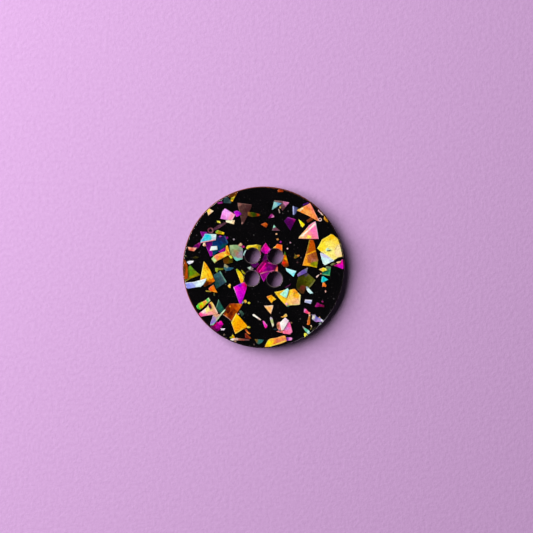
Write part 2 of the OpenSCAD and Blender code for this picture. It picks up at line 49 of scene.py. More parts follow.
# ---- foil tints -----------------------------------------------------------
# One entry per shard, as seen on the button: the shard's middle (x, y, in
# hundredths of the face radius), then its tints. A tint is (x, y, r, g, b);
# a fold or streak is (x0, y0, x1, y1, r0, g0, b0, r1, g1, b1), with an
# optional width.
# Some tints and streaks are painted highlights: pale lines and spots where a fold, curl or crease of the foil catches
# the lamp.
TINTS = {
    "flakes_magenta": [
        (2, 0, [(-6, -3.5, 140, 0, 70), (-3, 2, 125, 0, 80), (0, 4.5, 140, 0, 90), (0, -1, 205, 0, 140), (2.5, -4, 160, 0, 130), (5, 2, 105, 0, 85), (6, -3, 105, 0, 100), (9, 0, 125, 0, 108), (11, 2.5, 80, 0, 72), (14, -1, 85, 0, 72), (14, 2.5, 58, 0, 58), (2, 8, 95, 0, 70)], [(-3, -8, 12.6, -4.6, 255, 150, 180, 250, 80, 170, 1.1), (-5, -5.5, 2.5, 4.5, 255, 20, 175, 240, 10, 150, 0.8), (-7.5, -2.5, -1.5, 5, 175, 0, 110, 200, 10, 140, 0.6), (1.5, -3.5, 8, 2.5, 130, 0, 140, 120, 0, 120, 0.7), (5.5, 5.5, 16, 2.6, 215, 40, 160, 120, 10, 90, 0.5)]),
        (3, -11, [(0, -12, 135, 0, 120), (8, -6.5, 170, 0, 150), (0.3, -16.5, 190, 0, 165), (4, -10, 150, 0, 135)], [(-4, -9, -0.5, -17, 190, 0, 170, 190, 0, 170), (3, -13, 11, -6, 150, 0, 140, 120, 0, 120)]),
        (3, 23, [(2, 28, 200, 0, 140), (3, 23, 240, 0, 165), (-0.5, 18.5, 140, 0, 130), (8.8, 22, 205, 70, 195), (5, 18, 215, 0, 165), (-1.5, 22.5, 175, 0, 130), (5.5, 25, 235, 10, 165)]),
        (-4, 17.5, [(-4, 17.5, 220, 50, 150)]),
        (-9, -5.5, [(-9, -5.5, 180, 40, 170)]),
        (-29, -31, [(-29, -32, 205, 0, 210), (-32, -26, 230, 0, 215), (-33.5, -29, 240, 20, 215), (-26.5, -25, 215, 0, 195), (-28.8, -21.8, 130, 0, 200), (-25, -22.5, 235, 0, 150), (-21.8, -22, 190, 0, 60), (-22.5, -26, 205, 0, 160), (-28.5, -42, 180, 0, 215), (-26, -36, 190, 0, 190), (-30, -38, 215, 0, 215), (-27, -30, 225, 0, 215)], [(-37, -24.9, -31.4, -43, 255, 190, 240, 235, 60, 200, 0.5)]),
        (1.5, -71, [(1.5, -71, 255, 0, 190), (3.5, -74, 235, 0, 160)], [(1, -66.8, 4.5, -72, 255, 190, 235, 250, 130, 220)]),
        (-58, -73.5, [(-53, -68.5, 230, 0, 170), (-57, -73, 180, 0, 150), (-62, -75, 110, 0, 80), (-60, -71, 210, 0, 110), (-53, -75, 140, 0, 110), (-58, -79, 90, 0, 70)]),
        (-25.5, 25.7, [(-25.5, 25.7, 160, 30, 110), (-24, 25, 190, 40, 130)]),
        (-53, 38.5, [(-53, 38.5, 160, 50, 170)]),
        (-45, 36.5, [(-45, 36.5, 140, 0, 130)]),
        (-51, 21, [(-51, 21, 150, 0, 140), (-48, 24, 120, 0, 110)]),
        (-54, 80, [(-54, 80, 150, 30, 130)]),
        (9.5, 63.3, [(6.8, 61.5, 85, 0, 75), (8, 62.5, 100, 0, 85), (9.6, 64, 150, 8, 120), (12.7, 62.5, 230, 140, 200)]),
        (21.3, 31.1, [(21.3, 31.1, 150, 10, 140)]),
        (95, 3, [(95, 5, 235, 0, 160), (89, 2.3, 170, 0, 110), (98.5, 3, 255, 0, 190), (95.5, 0.8, 200, 0, 180)]),
    ],
    "flakes_violet": [
        (-69.5, 31, [(-70, 39, 130, 0, 130), (-66, 18, 150, 0, 150), (-65, 30, 110, 0, 120)]),
        (-82, 26.5, [(-82, 27, 100, 0, 90), (-80, 28.5, 150, 20, 120), (-86, 25, 80, 0, 75)]),
        (-32, 66, [(-33, 67.5, 180, 0, 205), (-29, 66.5, 140, 0, 190), (-33, 64, 200, 20, 205)]),
        (32, 57, [(30, 59, 85, 0, 90), (38.8, 59.3, 135, 0, 100), (33, 50, 75, 0, 84), (35, 56, 80, 0, 80), (27, 57.5, 66, 0, 78), (33, 54, 66, 0, 70), (32, 61, 98, 6, 106)], [(30.5, 61.8, 39.5, 59, 150, 60, 160, 190, 30, 140, 0.6)]),
        (53, 78.5, [(53, 78.5, 70, 0, 110)]),
        (2, 11.5, [(1.5, 13.5, 80, 0, 80), (2.5, 9, 95, 0, 90), (0, 11, 60, 0, 60)]),
        (-10.5, 3.2, [(-10.5, 3.2, 85, 0, 90), (-8, 5, 110, 10, 110)]),
        (30, -23, [(30, -23, 80, 15, 70)]),
    ],
    "flakes_maroon": [
        (69, -47, [(71, -47, 130, 0, 80), (66, -46, 150, 10, 110), (74, -48.5, 105, 10, 60)]),
        (73, -42.5, [(73, -42.5, 130, 20, 90)]),
        (-66.8, -48, [(-66, -47, 110, 0, 70), (-66.8, -50, 70, 0, 70)]),
        (-19.5, -85, [(-20, -86, 120, 30, 10)], [(-22, -82, -16, -88, 170, 70, 30, 150, 60, 25)]),
        (-53, 51, [(-48, 54, 80, 45, 60), (-58, 49, 75, 40, 60), (-54, 50.5, 95, 55, 75)]),
        (-24, 68, [(-24, 66, 75, 45, 43), (-26, 75, 84, 52, 50), (-30.5, 79, 140, 90, 82), (-26.5, 58, 75, 45, 45), (-18, 73, 66, 34, 36), (-22, 70, 62, 32, 34)], [(-31.6, 78, -28, 62, 130, 92, 82, 120, 85, 80, 0.6), (-31, 79.4, -15, 77.3, 130, 85, 80, 105, 70, 66, 0.6), (-26.8, 54.2, -26.2, 55.5, 190, 130, 120, 150, 105, 100, 1.0)]),
        (15, 48, [(15, 47.5, 110, 55, 80), (14, 51.2, 150, 220, 190)]),
        (23, 77.5, [(22, 78, 110, 75, 80), (29, 79.5, 200, 110, 160), (23, 72.5, 90, 55, 65), (16, 82, 130, 100, 100)]),
        (-65.5, 45.5, [(-67.5, 45.5, 105, 40, 60), (-63, 45.5, 140, 85, 95)]),
    ],
    "flakes_pink": [
        (-44.5, 65, [(-46, 68, 250, 165, 250), (-50, 62.5, 235, 130, 225), (-40, 62, 255, 150, 190), (-44, 65, 250, 175, 250)], [(-38.5, 58.8, -35.3, 64.8, 255, 205, 215, 255, 210, 225)]),
        (58, 44, [(60, 47, 255, 115, 185), (64, 41, 255, 120, 180), (56.5, 51, 255, 110, 170), (53, 46, 255, 150, 95), (50, 42.5, 255, 175, 90), (55.5, 37.2, 250, 230, 80), (48, 37.5, 255, 200, 130), (57.5, 41, 255, 140, 160), (52.5, 39.5, 255, 165, 140), (62, 36.5, 255, 130, 150), (61, 54, 255, 150, 190)], [(47.5, 38.8, 63.5, 53.4, 255, 250, 235, 255, 240, 225, 1.35), (52, 46.8, 62, 56, 255, 205, 150, 255, 150, 170, 0.5), (68, 36, 64.6, 56, 235, 225, 250, 240, 220, 250, 0.45), (44.5, 35.4, 67.5, 35.1, 255, 150, 150, 250, 130, 160, 0.5)]),
        (30, -76, [(31, -73, 255, 90, 170), (29, -80.5, 250, 110, 150), (30, -75, 220, 130, 200), (33, -79, 255, 130, 180)]),
        (54, -55, [(54, -55, 255, 60, 120), (51, -53.5, 230, 120, 190), (57, -57, 255, 140, 120)]),
        (31.5, -88.7, [(28.5, -88.7, 130, 30, 190), (33.5, -89, 245, 150, 215), (27, -87.4, 190, 110, 160)]),
        (70, 59, [(69, 60, 230, 180, 180), (71, 58, 245, 210, 200)]),
        (28.6, -45.2, [(28.5, -45.2, 250, 150, 200), (30, -45.6, 225, 190, 215)]),
    ],
    "flakes_coral": [
        (-88, 22.6, [(-88, 22.5, 250, 140, 110), (-91.5, 24, 255, 160, 125), (-90, 21.5, 225, 100, 80), (-83.5, 23, 255, 195, 170)], [(-89.4, 24.6, -87, 21.4, 190, 85, 70, 200, 90, 75, 0.5)]),
        (15.5, -1.2, [(15.5, -2.5, 240, 110, 90), (15.5, 2.4, 170, 0, 60), (17, -4.5, 250, 150, 120)]),
        (20.5, -73, [(17.5, -73, 170, 100, 60), (22, -73, 255, 140, 150), (20, -69.5, 235, 130, 120), (22, -77, 240, 120, 120)]),
        (20.5, -79.8, [(20, -79.8, 230, 120, 110)]),
        (71, 68, [(71, 68, 255, 200, 200), (69, 69.5, 240, 170, 180), (73.5, 65.5, 255, 215, 190)]),
        (67.3, -11, [(67, -11, 255, 190, 180)]),
        (76.9, -30, [(77, -30, 220, 160, 150)]),
    ],
    "flakes_peach": [
        (-67.5, -54, [(-78.5, -58.5, 255, 70, 150), (-73.5, -55, 255, 220, 225), (-69.5, -53, 250, 240, 140), (-61, -54, 255, 170, 140), (-64, -46.5, 255, 200, 80), (-66, -57.5, 255, 160, 170), (-73, -59, 255, 120, 170), (-64, -51, 250, 200, 120)], [(-57, -56.6, -63, -45, 255, 230, 210, 255, 225, 150)]),
        (8, -50.8, [(8, -50.5, 255, 180, 100), (9.5, -54.5, 255, 190, 120)], [(1.5, -47.9, 11.6, -47.4, 255, 215, 190, 255, 215, 190), (11.6, -48, 9.4, -57, 255, 220, 200, 255, 200, 160)]),
        (-41.5, 56.8, [(-41, 57, 255, 245, 210), (-38, 55, 255, 220, 170)]),
        (-73.2, 28.3, [(-74, 29, 255, 225, 180), (-72, 27.3, 255, 165, 135)]),
        (-28.5, 27.9, [(-28.5, 28, 230, 190, 150), (-30, 27, 205, 150, 120)]),
        (93, 6.2, [(93, 6, 255, 180, 130), (95, 6.5, 255, 205, 160)]),
        (69.3, -62.8, [(69.3, -62.7, 250, 190, 120)]),
        (-35, -92, [(-35, -91, 210, 160, 120), (-34.5, -93.3, 170, 115, 90)]),
    ],
    "flakes_orange": [
        (18.5, 24, [(18, 25, 255, 100, 20), (13, 23.6, 255, 180, 50), (21, 21, 255, 90, 10), (17, 21, 245, 120, 20)], [(22.8, 18, 23, 27.2, 255, 150, 50, 255, 150, 50)]),
        (-62.5, -26.7, [(-62, -27, 245, 120, 15), (-66.5, -27, 240, 90, 20), (-60, -29.5, 250, 150, 30)]),
        (75.3, -21.5, [(75.5, -22, 235, 110, 25), (74.5, -19.5, 245, 140, 50)]),
        (-53.5, 12.2, [(-62.8, 10, 200, 240, 150), (-58, 13.5, 255, 140, 90), (-53.5, 13, 255, 150, 30), (-46, 16, 255, 230, 60), (-51, 17.3, 255, 170, 60)], [(-60, 6, -44, 14.6, 190, 150, 40, 230, 190, 50)]),
        (14.2, 98.3, [(14, 98, 170, 60, 0)]),
        (21, 95.5, [(21, 95.5, 140, 40, 0), (18.8, 94, 170, 70, 10)]),
        (57, 68, [(50, 70.5, 255, 165, 75), (53.5, 72.5, 255, 145, 60), (57, 72, 255, 145, 75), (55, 68.5, 255, 172, 85), (64, 62, 255, 135, 65), (60, 65, 255, 148, 72), (58, 68, 255, 155, 85), (61.5, 69, 255, 125, 90), (60, 73, 255, 130, 115), (57, 77, 255, 140, 120), (43, 70.3, 255, 185, 80), (47, 68.8, 245, 140, 50)], [(45.5, 70.2, 48.5, 73, 255, 235, 190, 255, 235, 190), (59, 77, 68.3, 58.3, 255, 125, 110, 255, 170, 140)]),
        (27, 9, [(26.6, 17.5, 70, 130, 10), (26, 13, 235, 110, 0), (27.8, 10.5, 245, 180, 0), (26.5, 8.5, 190, 70, 0), (25.5, 5.5, 245, 30, 15), (28.5, 1.3, 95, 45, 5), (24, 3.5, 150, 35, 10), (29.3, 6.5, 215, 100, 5), (27.5, 4, 160, 50, 5), (31, 2.5, 110, 40, 5)]),
        (-19.8, -79.5, [(-21.5, -78, 190, 80, 20), (-18.5, -82, 230, 130, 40)]),
    ],
    "flakes_copper": [
        (58.5, 15.5, [(52.5, 5.5, 248, 158, 25), (52, 9.5, 240, 150, 20), (55, 3.5, 245, 165, 25), (58, 29, 190, 75, 0), (60, 23, 185, 80, 0), (58, 11, 175, 90, 50), (62, 13, 160, 80, 40), (61, 9, 170, 100, 80), (62, 4.5, 130, 140, 0), (57, 8, 165, 85, 30), (65.5, 15, 150, 75, 20)], [(57, 33, 53.8, 19, 130, 125, 10, 150, 120, 10), (53.5, 15.5, 64.3, 20.2, 255, 180, 0, 240, 160, 10), (53.5, 13.5, 49, 3, 245, 150, 30, 235, 150, 40), (50, 2.7, 57, 2.1, 245, 160, 30, 225, 160, 20), (57.5, 1.9, 65.5, 0.1, 220, 180, 0, 205, 170, 10)]),
        (-39, -54.5, [(-33, -50, 200, 85, 0), (-36, -48.5, 165, 60, 0), (-46, -50, 90, 25, 5), (-44, -56, 75, 8, 0), (-46, -59.5, 200, 95, 10), (-42, -60.5, 110, 30, 0), (-38, -62, 160, 55, 0), (-38, -54, 115, 35, 0), (-40.5, -52, 150, 55, 0), (-30, -47, 215, 110, 10), (-48.5, -57, 130, 50, 5), (-43, -52.5, 95, 22, 0), (-35.5, -57, 150, 60, 0), (-39.5, -57.5, 90, 18, 0)], [(-41.8, -48.2, -41.2, -49, 230, 150, 20, 225, 140, 20, 1.0), (-50, -58.8, -40.2, -66.3, 220, 180, 160, 200, 150, 130, 0.6), (-36, -48, -45, -60, 170, 70, 5, 130, 45, 0, 0.5)]),
        (56.3, -63.5, [(56.8, -63, 170, 100, 30), (55.8, -69.5, 220, 110, 20), (57.4, -57.8, 250, 190, 140)]),
        (2, 52.8, [(2, 53, 190, 80, 10), (3.5, 51, 150, 60, 10)]),
        (-96.6, -3, [(-98.5, -4, 90, 50, 5), (-94.8, -5, 185, 75, 5), (-96.5, 5, 150, 60, 5)]),
        (-38, 90.3, [(-38, 90, 85, 42, 5), (-33, 93, 125, 62, 10), (-35.5, 87.5, 110, 60, 0)]),
        (58, 60.3, [(58, 60.5, 110, 45, 10), (59.5, 63, 150, 70, 20)]),
        (-44, 9, [(-46, 9, 90, 50, 0), (-40, 9, 70, 60, 0)]),
    ],
    "flakes_gold": [
        (-30.5, -68.5, [(-31, -70, 255, 162, 0), (-31, -62, 255, 195, 0), (-25, -72, 255, 172, 0), (-34, -77, 255, 158, 0), (-36.5, -70, 255, 180, 0), (-28, -67, 250, 155, 0)], [(-39.8, -69, -34, -57.3, 255, 228, 70, 255, 232, 80), (-35, -81.8, -25, -76.4, 255, 225, 80, 255, 215, 60)]),
        (31, -37.5, [(20, -34, 255, 200, 20), (24, -40, 255, 205, 30), (31, -32, 255, 205, 40), (38, -41, 255, 195, 130), (43, -43, 255, 195, 150), (41, -30, 255, 160, 30), (40.5, -35, 240, 170, 20), (33, -44, 255, 195, 110), (34, -37, 255, 200, 90)], [(38, -32, 38.6, -32, 120, 110, 60, 120, 110, 60, 0.9), (45.4, -34.8, 44.6, -45.6, 250, 240, 150, 250, 240, 170, 0.7), (43, -46, 29.5, -48, 250, 240, 150, 250, 235, 140), (43, -32, 45.6, -34.5, 255, 225, 120, 250, 235, 140)]),
        (9.3, -39, [(9.5, -38.5, 255, 180, 5), (5.5, -36.6, 245, 140, 20), (13, -39.7, 255, 200, 40), (9.6, -43, 250, 165, 15)]),
        (-69.5, -9.5, [(-71, 4, 252, 168, 10), (-71.5, -1.5, 255, 196, 25), (-69, 0, 235, 145, 10), (-70.5, -7, 255, 210, 40), (-67.5, -4.5, 252, 182, 20), (-68, -9.5, 245, 168, 12), (-73, -11, 255, 208, 45), (-65, -8, 252, 178, 20), (-69.5, -13, 255, 202, 35), (-65.5, -12, 255, 197, 30), (-62.5, -16, 235, 115, 0), (-66.5, -15.5, 230, 120, 0), (-73.5, -15.5, 245, 165, 20), (-70, -20.5, 65, 12, 0), (-67.5, -18.8, 105, 32, 0), (-64.8, -19.2, 140, 50, 0), (-72.5, -19, 120, 50, 5), (-66, -17, 215, 115, 5)], [(-74, 6, -77.6, -14, 255, 230, 80, 255, 228, 80)]),
        (-45, 20.5, [(-44.8, 24, 255, 175, 20), (-46, 18.5, 250, 165, 20), (-42.5, 20, 255, 200, 60)], [(-47, 22, -42.3, 16, 180, 90, 0, 190, 100, 0)]),
        (26, -60, [(26, -60.6, 250, 185, 50), (28.3, -59, 255, 215, 120), (23.5, -61.5, 225, 150, 40)]),
        (-42, -23, [(-42, -23, 255, 190, 40), (-41.3, -21.3, 255, 220, 110)]),
        (77.8, 60, [(77.5, 61.5, 210, 145, 0), (78.8, 57.5, 190, 120, 0)]),
        (-22.4, -42.2, [(-22.5, -42, 240, 170, 40), (-21, -42.5, 255, 210, 110)]),
        (20.6, 74, [(20.7, 74, 230, 180, 60)]),
    ],
    "flakes_yellow": [
        (83.5, 25, [(73, 25, 255, 225, 45), (82, 29, 255, 232, 95), (93, 22, 255, 225, 160), (85, 38.5, 250, 195, 10), (78, 18, 255, 235, 110), (88, 13, 255, 230, 120), (90, 33, 255, 215, 70), (80, 36.5, 250, 205, 30), (70, 22, 255, 220, 35), (84, 22, 255, 235, 130), (92, 16, 255, 215, 160), (86, 27, 255, 225, 100), (95, 12, 255, 220, 130)], [(88.5, 21.5, 91.5, 27, 205, 175, 90, 200, 170, 80, 0.6), (73.4, 31.6, 73.8, 31.8, 130, 100, 10, 140, 105, 10, 0.8), (75.6, 33.2, 76, 33.4, 185, 150, 30, 185, 150, 30, 0.6), (72.5, 19.3, 87, 9.3, 255, 240, 150, 255, 240, 160)]),
        (-67, 69, [(-67.5, 70.5, 255, 220, 80), (-64, 69.3, 255, 225, 190), (-67, 66, 255, 200, 150)]),
        (-55.5, 56, [(-55.5, 56, 235, 220, 60), (-54, 55, 250, 235, 130)]),
        (-11.5, 23.8, [(-19, 24, 255, 240, 10), (-14, 23.5, 255, 222, 40), (-9, 24, 225, 180, 10), (-5, 24.3, 120, 125, 40), (-11.5, 20.5, 250, 205, 30), (-6, 27, 150, 140, 30)], [(-19.3, 26.6, -9, 27.8, 255, 240, 90, 235, 200, 60)]),
        (-29, -11, [(-31.5, -3.5, 150, 170, 20), (-30, -7, 235, 205, 10), (-28.5, -11, 255, 205, 10), (-26.5, -17.5, 250, 185, 5), (-26, -12.5, 255, 225, 60), (-28, -14.5, 240, 175, 5)]),
        (74, -2.8, [(77, -2.8, 240, 240, 90), (74, -2.8, 250, 220, 30), (70, -2.8, 250, 190, 100)]),
        (52, -83.3, [(52, -83, 240, 230, 40), (53.5, -83, 250, 240, 110)]),
        (-40.5, 13, [(-40.5, 13, 230, 240, 60), (-39, 12, 200, 210, 40)]),
        (47.3, 54.5, [(47, 55.5, 240, 240, 0), (49.3, 52, 250, 225, 20), (45, 58, 230, 240, 60)]),
        (-18.8, -74.2, [(-18.7, -74, 230, 210, 50), (-20.5, -73.6, 245, 235, 120)]),
        (14.5, -92, [(7, -94, 255, 225, 10), (5, -96, 255, 205, 20), (9, -90, 252, 190, 50), (11, -92.5, 255, 200, 30), (15, -89.3, 250, 145, 60), (18, -91.5, 225, 115, 90), (13.5, -94, 240, 130, 50), (21, -88, 250, 150, 70), (24, -89.5, 230, 130, 90), (25, -86, 255, 165, 70), (3, -97.5, 255, 180, 40)], [(9, -97.8, 27, -91.4, 255, 230, 80, 255, 220, 90)]),
    ],
    "flakes_olive": [
        (52, -19, [(51, -20, 60, 58, 0), (59, -16, 90, 95, 20), (49, -26, 105, 40, 30), (52.6, -8.8, 82, 62, 95), (49.5, -12, 60, 60, 0), (55, -12.6, 70, 74, 5), (56.5, -11.5, 95, 95, 30), (44, -22, 42, 42, 0), (47, -30, 70, 42, 15), (46, -14, 55, 58, 0), (56, -21, 75, 78, 5), (52, -15, 70, 75, 0), (53.5, -27, 80, 48, 20), (47.5, -18, 50, 55, 0)], [(56.5, -25, 63.5, -16.5, 125, 125, 65, 120, 120, 60)]),
        (-55, -2.6, [(-53, -2.3, 110, 110, 10), (-58.5, -2.8, 150, 170, 40)]),
        (-68, -29.7, [(-68, -29.8, 170, 150, 40)]),
        (-61, -33.5, [(-61, -33.5, 80, 85, 50)]),
        (-25.2, -6, [(-25, -6, 170, 160, 20)]),
        (-38.5, -86.3, [(-39, -86.5, 170, 180, 0), (-38, -84.5, 230, 200, 30), (-36, -87, 235, 140, 20)]),
        (-47, -87.5, [(-47, -87.5, 120, 115, 20)]),
        (-84, 12.3, [(-84, 12.5, 50, 45, 10)]),
        (-96, 13.8, [(-96, 14, 90, 90, 50)]),
        (41, 13.5, [(41, 13.5, 90, 85, 20), (43.5, 14.8, 190, 110, 30), (39, 12, 120, 90, 20)]),
        (59, -74.5, [(59, -74.8, 120, 110, 30), (59, -72, 225, 200, 160)]),
        (-17.7, -44.2, [(-17.5, -44, 200, 190, 50)]),
        (-12, 65.4, [(-18, 66.5, 130, 85, 20), (-14.5, 66, 50, 70, 0), (-11, 65.3, 30, 58, 0), (-7, 64.8, 165, 45, 0), (-9, 65, 75, 50, 0), (-4.5, 64.3, 75, 55, 0), (-16, 65, 95, 70, 10)]),
        (-38, 84.7, [(-38, 82.6, 245, 175, 10), (-38.5, 85, 120, 130, 0), (-36.5, 87, 235, 200, 30), (-37.5, 86, 215, 190, 20)]),
        (86, 3.8, [(84.5, 3.3, 110, 120, 70), (88, 4.2, 120, 100, 60)]),
        (62.5, -75.5, [(62.5, -75.5, 45, 45, 30)]),
    ],
    "flakes_green": [
        (-88.5, -8.5, [(-89, -8, 90, 140, 10), (-96, -10, 80, 110, 50), (-81, -8.5, 130, 120, 0), (-90, 0, 100, 150, 30), (-88, -12, 150, 135, 0), (-84, -5, 105, 130, 10)], [(-97, -17.6, -82, -11.4, 165, 125, 0, 155, 120, 0)]),
        (-74, -45, [(-82, -48, 50, 215, 70), (-80, -50.5, 85, 195, 40), (-79.5, -47.5, 150, 215, 20), (-77.8, -48.3, 235, 130, 0), (-76, -46.5, 170, 215, 0), (-75, -48.2, 220, 205, 20), (-73.5, -45, 235, 165, 40), (-71.5, -43.3, 255, 150, 60), (-70.5, -45, 150, 205, 60), (-69, -41, 70, 205, 100), (-66.8, -41, 225, 240, 170), (-79, -52, 70, 180, 40)]),
        (-54, 43.2, [(-59, 44.5, 90, 160, 30), (-57, 44, 140, 175, 30), (-55, 43.5, 170, 120, 15), (-53, 43, 150, 155, 15), (-50, 42.3, 245, 200, 10)], [(-58.5, 42.2, -49, 39.8, 225, 160, 0, 235, 170, 0, 0.6)]),
    ],
    "flakes_teal": [
        (-53, -50, [(-53.5, -42.5, 50, 82, 78), (-54.5, -46.5, 38, 88, 80), (-53, -50, 25, 98, 80), (-50, -52.5, 20, 76, 66), (-56, -52, 33, 90, 80), (-53, -56, 30, 80, 68)], [(-55.8, -40.5, -58.6, -50.5, 90, 150, 120, 85, 145, 120)]),
        (-54, -16, [(-53, -15, 52, 74, 88), (-58.5, -20, 25, 66, 62), (-56, -10, 48, 90, 98), (-51, -20, 42, 70, 84), (-50, -14, 66, 88, 98), (-56, -16, 36, 70, 74)], [(-53.3, -5.5, -46.2, -18, 120, 180, 160, 110, 170, 150)]),
        (-62.3, -20.8, [(-62, -21, 20, 45, 50)]),
        (78, -5, [(78, -6, 10, 130, 100), (81.5, -5, 50, 150, 95), (80, 0, 100, 115, 85), (75, -8, 30, 140, 105), (76, -4, 45, 115, 70)], [(73.5, -9.2, 81.5, -10.2, 130, 180, 110, 120, 170, 100)]),
        (-5, -91.8, [(-4, -91.5, 40, 100, 100), (-9.5, -90.5, 110, 80, 20), (-6, -94, 50, 90, 80)]),
        (-27, -57, [(-27, -57, 45, 70, 60), (-28, -55, 70, 100, 85)]),
        (-45, 83, [(-45, 83, 35, 60, 65), (-41.5, 81, 60, 80, 80)]),
        (14.6, -76.8, [(14.5, -76.7, 25, 45, 55)]),
        (20, -78.4, [(20, -78.4, 70, 110, 130)]),
        (30.4, -48, [(30.5, -48, 60, 120, 100)]),
        (70.5, -68.3, [(70.5, -68.4, 110, 125, 120)]),
    ],
    "flakes_cyan": [
        (-68, 36.5, [(-69, 39, 0, 200, 225), (-73, 35.5, 60, 205, 228), (-67, 36.5, 70, 210, 230), (-61.5, 38, 215, 240, 240), (-61, 34.5, 200, 215, 230)], [(-72.8, 41, -77.5, 33, 190, 175, 255, 170, 160, 245), (-77, 30.6, -60, 33.7, 250, 150, 175, 255, 150, 170), (-72, 41.2, -59, 40.6, 110, 220, 235, 210, 235, 240)]),
        (75, -15.3, [(74.5, -15, 0, 200, 210), (78, -15.8, 40, 210, 215)], [(71.9, -17.5, 72.6, -12.5, 60, 215, 205, 70, 215, 200)]),
        (15.3, 77, [(14, 77, 140, 200, 200), (19, 79, 90, 160, 200), (12, 73, 120, 175, 180)]),
    ],
    "flakes_mint": [
        (-33.5, 18.5, [(-34, 25, 140, 172, 118), (-34, 19.5, 160, 135, 92), (-36.5, 16.5, 135, 145, 110), (-31, 14, 155, 130, 140), (-32.5, 16.8, 170, 120, 105), (-32, 9.3, 105, 205, 185), (-28, 17, 140, 140, 160), (-39, 20, 135, 155, 110), (-28, 23.5, 145, 170, 150), (-39.5, 25.5, 165, 195, 140), (-31, 21.5, 130, 140, 105)], [(-37.3, 12, -33, 8.3, 100, 205, 190, 120, 215, 195)]),
        (53.3, -78.2, [(53, -77.8, 90, 195, 160), (55.5, -80.5, 190, 235, 230), (49.2, -73.7, 165, 140, 150), (53, -80.8, 80, 165, 140), (50.5, -76, 130, 185, 160)]),
        (26.5, -32.5, [(25.5, -32.5, 170, 250, 220), (27, -36, 165, 245, 215), (23, -33, 175, 250, 205), (29.3, -28.5, 180, 250, 240)], [(31, -28.2, 28.5, -37, 170, 250, 255, 190, 252, 255)]),
        (80, 21.6, [(80, 22.4, 190, 230, 200)], [(78.5, 20, 83, 21, 80, 70, 0, 90, 80, 10)]),
        (10.3, -67.5, [(10.5, -67.5, 180, 200, 130), (9.2, -62.3, 190, 180, 205), (11.7, -72.5, 245, 235, 200)]),
        (-56.5, -62, [(-58, -59, 220, 160, 120), (-63, -68, 140, 120, 210), (-56, -62, 200, 170, 160), (-49.5, -54, 200, 225, 190), (-62, -71, 150, 200, 180), (-63, -64, 170, 140, 200)], [(-58, -66.2, -47.5, -53.2, 200, 240, 170, 205, 240, 180)]),
    ],
    "flakes_ice": [
        (34.6, -6.5, [(35, -6, 190, 250, 255), (36.5, -10, 130, 240, 250), (31, -3.6, 180, 248, 255), (33.5, -7.5, 150, 243, 250)]),
        (56.6, -28.8, [(56.5, -28.5, 215, 250, 250), (54, -25, 150, 170, 190), (59.5, -32, 200, 245, 250)]),
        (77.5, 9.5, [(73, 9, 190, 240, 245), (77, 13.5, 205, 195, 235), (78, 6, 220, 255, 245), (84, 8, 205, 225, 240), (76, 10, 205, 240, 245)]),
        (-23.3, 18.5, [(-24.3, 16, 170, 225, 220), (-21.2, 21.8, 200, 215, 215), (-22.8, 19.5, 175, 230, 225)]),
        (-86, -21, [(-93, -23, 145, 150, 245), (-88, -22, 165, 170, 245), (-81, -21, 225, 245, 255), (-74, -18, 225, 245, 255), (-84, -19.5, 205, 225, 252)], [(-97.3, -20.3, -96.6, -25.6, 220, 225, 250, 215, 220, 250), (-95, -19.3, -72, -14.6, 235, 240, 255, 240, 250, 255)]),
    ],
    "flakes_white": [
        (-61.5, 23.3, [(-62, 23.5, 240, 250, 245), (-58.5, 24, 225, 240, 240)]),
        (-90.3, 6.3, [(-90, 6.5, 245, 245, 255), (-93, 6, 215, 220, 245)]),
        (25.5, -70, [(25, -70, 245, 240, 240), (29.5, -67, 250, 220, 240), (24, -76, 235, 225, 225), (22, -70, 250, 250, 245)]),
        (-8, -61.5, [(-8, -61.5, 255, 245, 235), (-4.5, -64.5, 245, 215, 200)]),
        (-50.5, -76.8, [(-50, -76.7, 250, 235, 255)]),
        (-29, -89.5, [(-38, -89.6, 255, 240, 235), (-34, -89.4, 215, 180, 170), (-30, -89.3, 160, 95, 75), (-26, -89.7, 145, 68, 55), (-21, -89.9, 110, 68, 66), (-18, -89.9, 90, 60, 58)]),
        (-16, -1.4, [(-17, -1, 185, 210, 190), (-14, -1.6, 120, 95, 105), (-19, -1.6, 150, 165, 155)]),
        (-25.7, -43.8, [(-25.7, -44, 150, 155, 165)]),
        (19.5, 69.8, [(19.4, 69.7, 150, 130, 125)]),
    ],
    "flakes_lavender": [
        (65.5, -62.8, [(61, -58.5, 110, 95, 130), (62.2, -62, 215, 215, 205), (65.5, -62, 105, 95, 190), (67, -67, 190, 130, 205), (72.5, -66, 230, 240, 255), (69, -64.6, 150, 140, 210), (64, -65, 140, 120, 180), (70.5, -67.5, 170, 140, 215)]),
        (55.5, -42.3, [(55.5, -41.2, 220, 220, 250), (56, -44, 205, 210, 245)], [(52, -42.4, 58.5, -43, 150, 165, 220, 150, 165, 220)]),
        (48.3, -6.5, [(48, -7, 105, 80, 175), (43.5, -9, 130, 100, 165), (51, -5, 100, 80, 165), (53.5, -3.5, 120, 120, 140)]),
        (38.8, 70.5, [(40, 71, 75, 80, 125), (41.5, 73, 60, 65, 110)], [(36.8, 75, 37.2, 66, 190, 200, 250, 180, 190, 240)]),
    ],
    "flakes_blue": [
        (-54, 29, [(-52, 37, 25, 30, 90), (-53, 30, 5, 42, 100), (-56, 24, 0, 60, 110), (-50, 25.5, 0, 65, 72), (-60, 19, 0, 65, 98), (-60, 31, 5, 45, 105), (-50, 32.5, 15, 35, 85)], [(-47.8, 38.4, -44.5, 30.5, 40, 80, 130, 40, 80, 130)]),
        (-44, 0, [(-46.5, 1.5, 155, 148, 108), (-43, -3, 30, 80, 118), (-47.8, -2, 60, 118, 118), (-39, -1.3, 38, 84, 108)]),
    ],
    "fine_specks": [
        (16, 41.2, [(16, 41.2, 220, 165, 120)]),
        (17.6, 34.6, [(17.6, 34.6, 200, 130, 60)]),
        (33.3, 30.5, [(33.3, 30.5, 170, 130, 150)]),
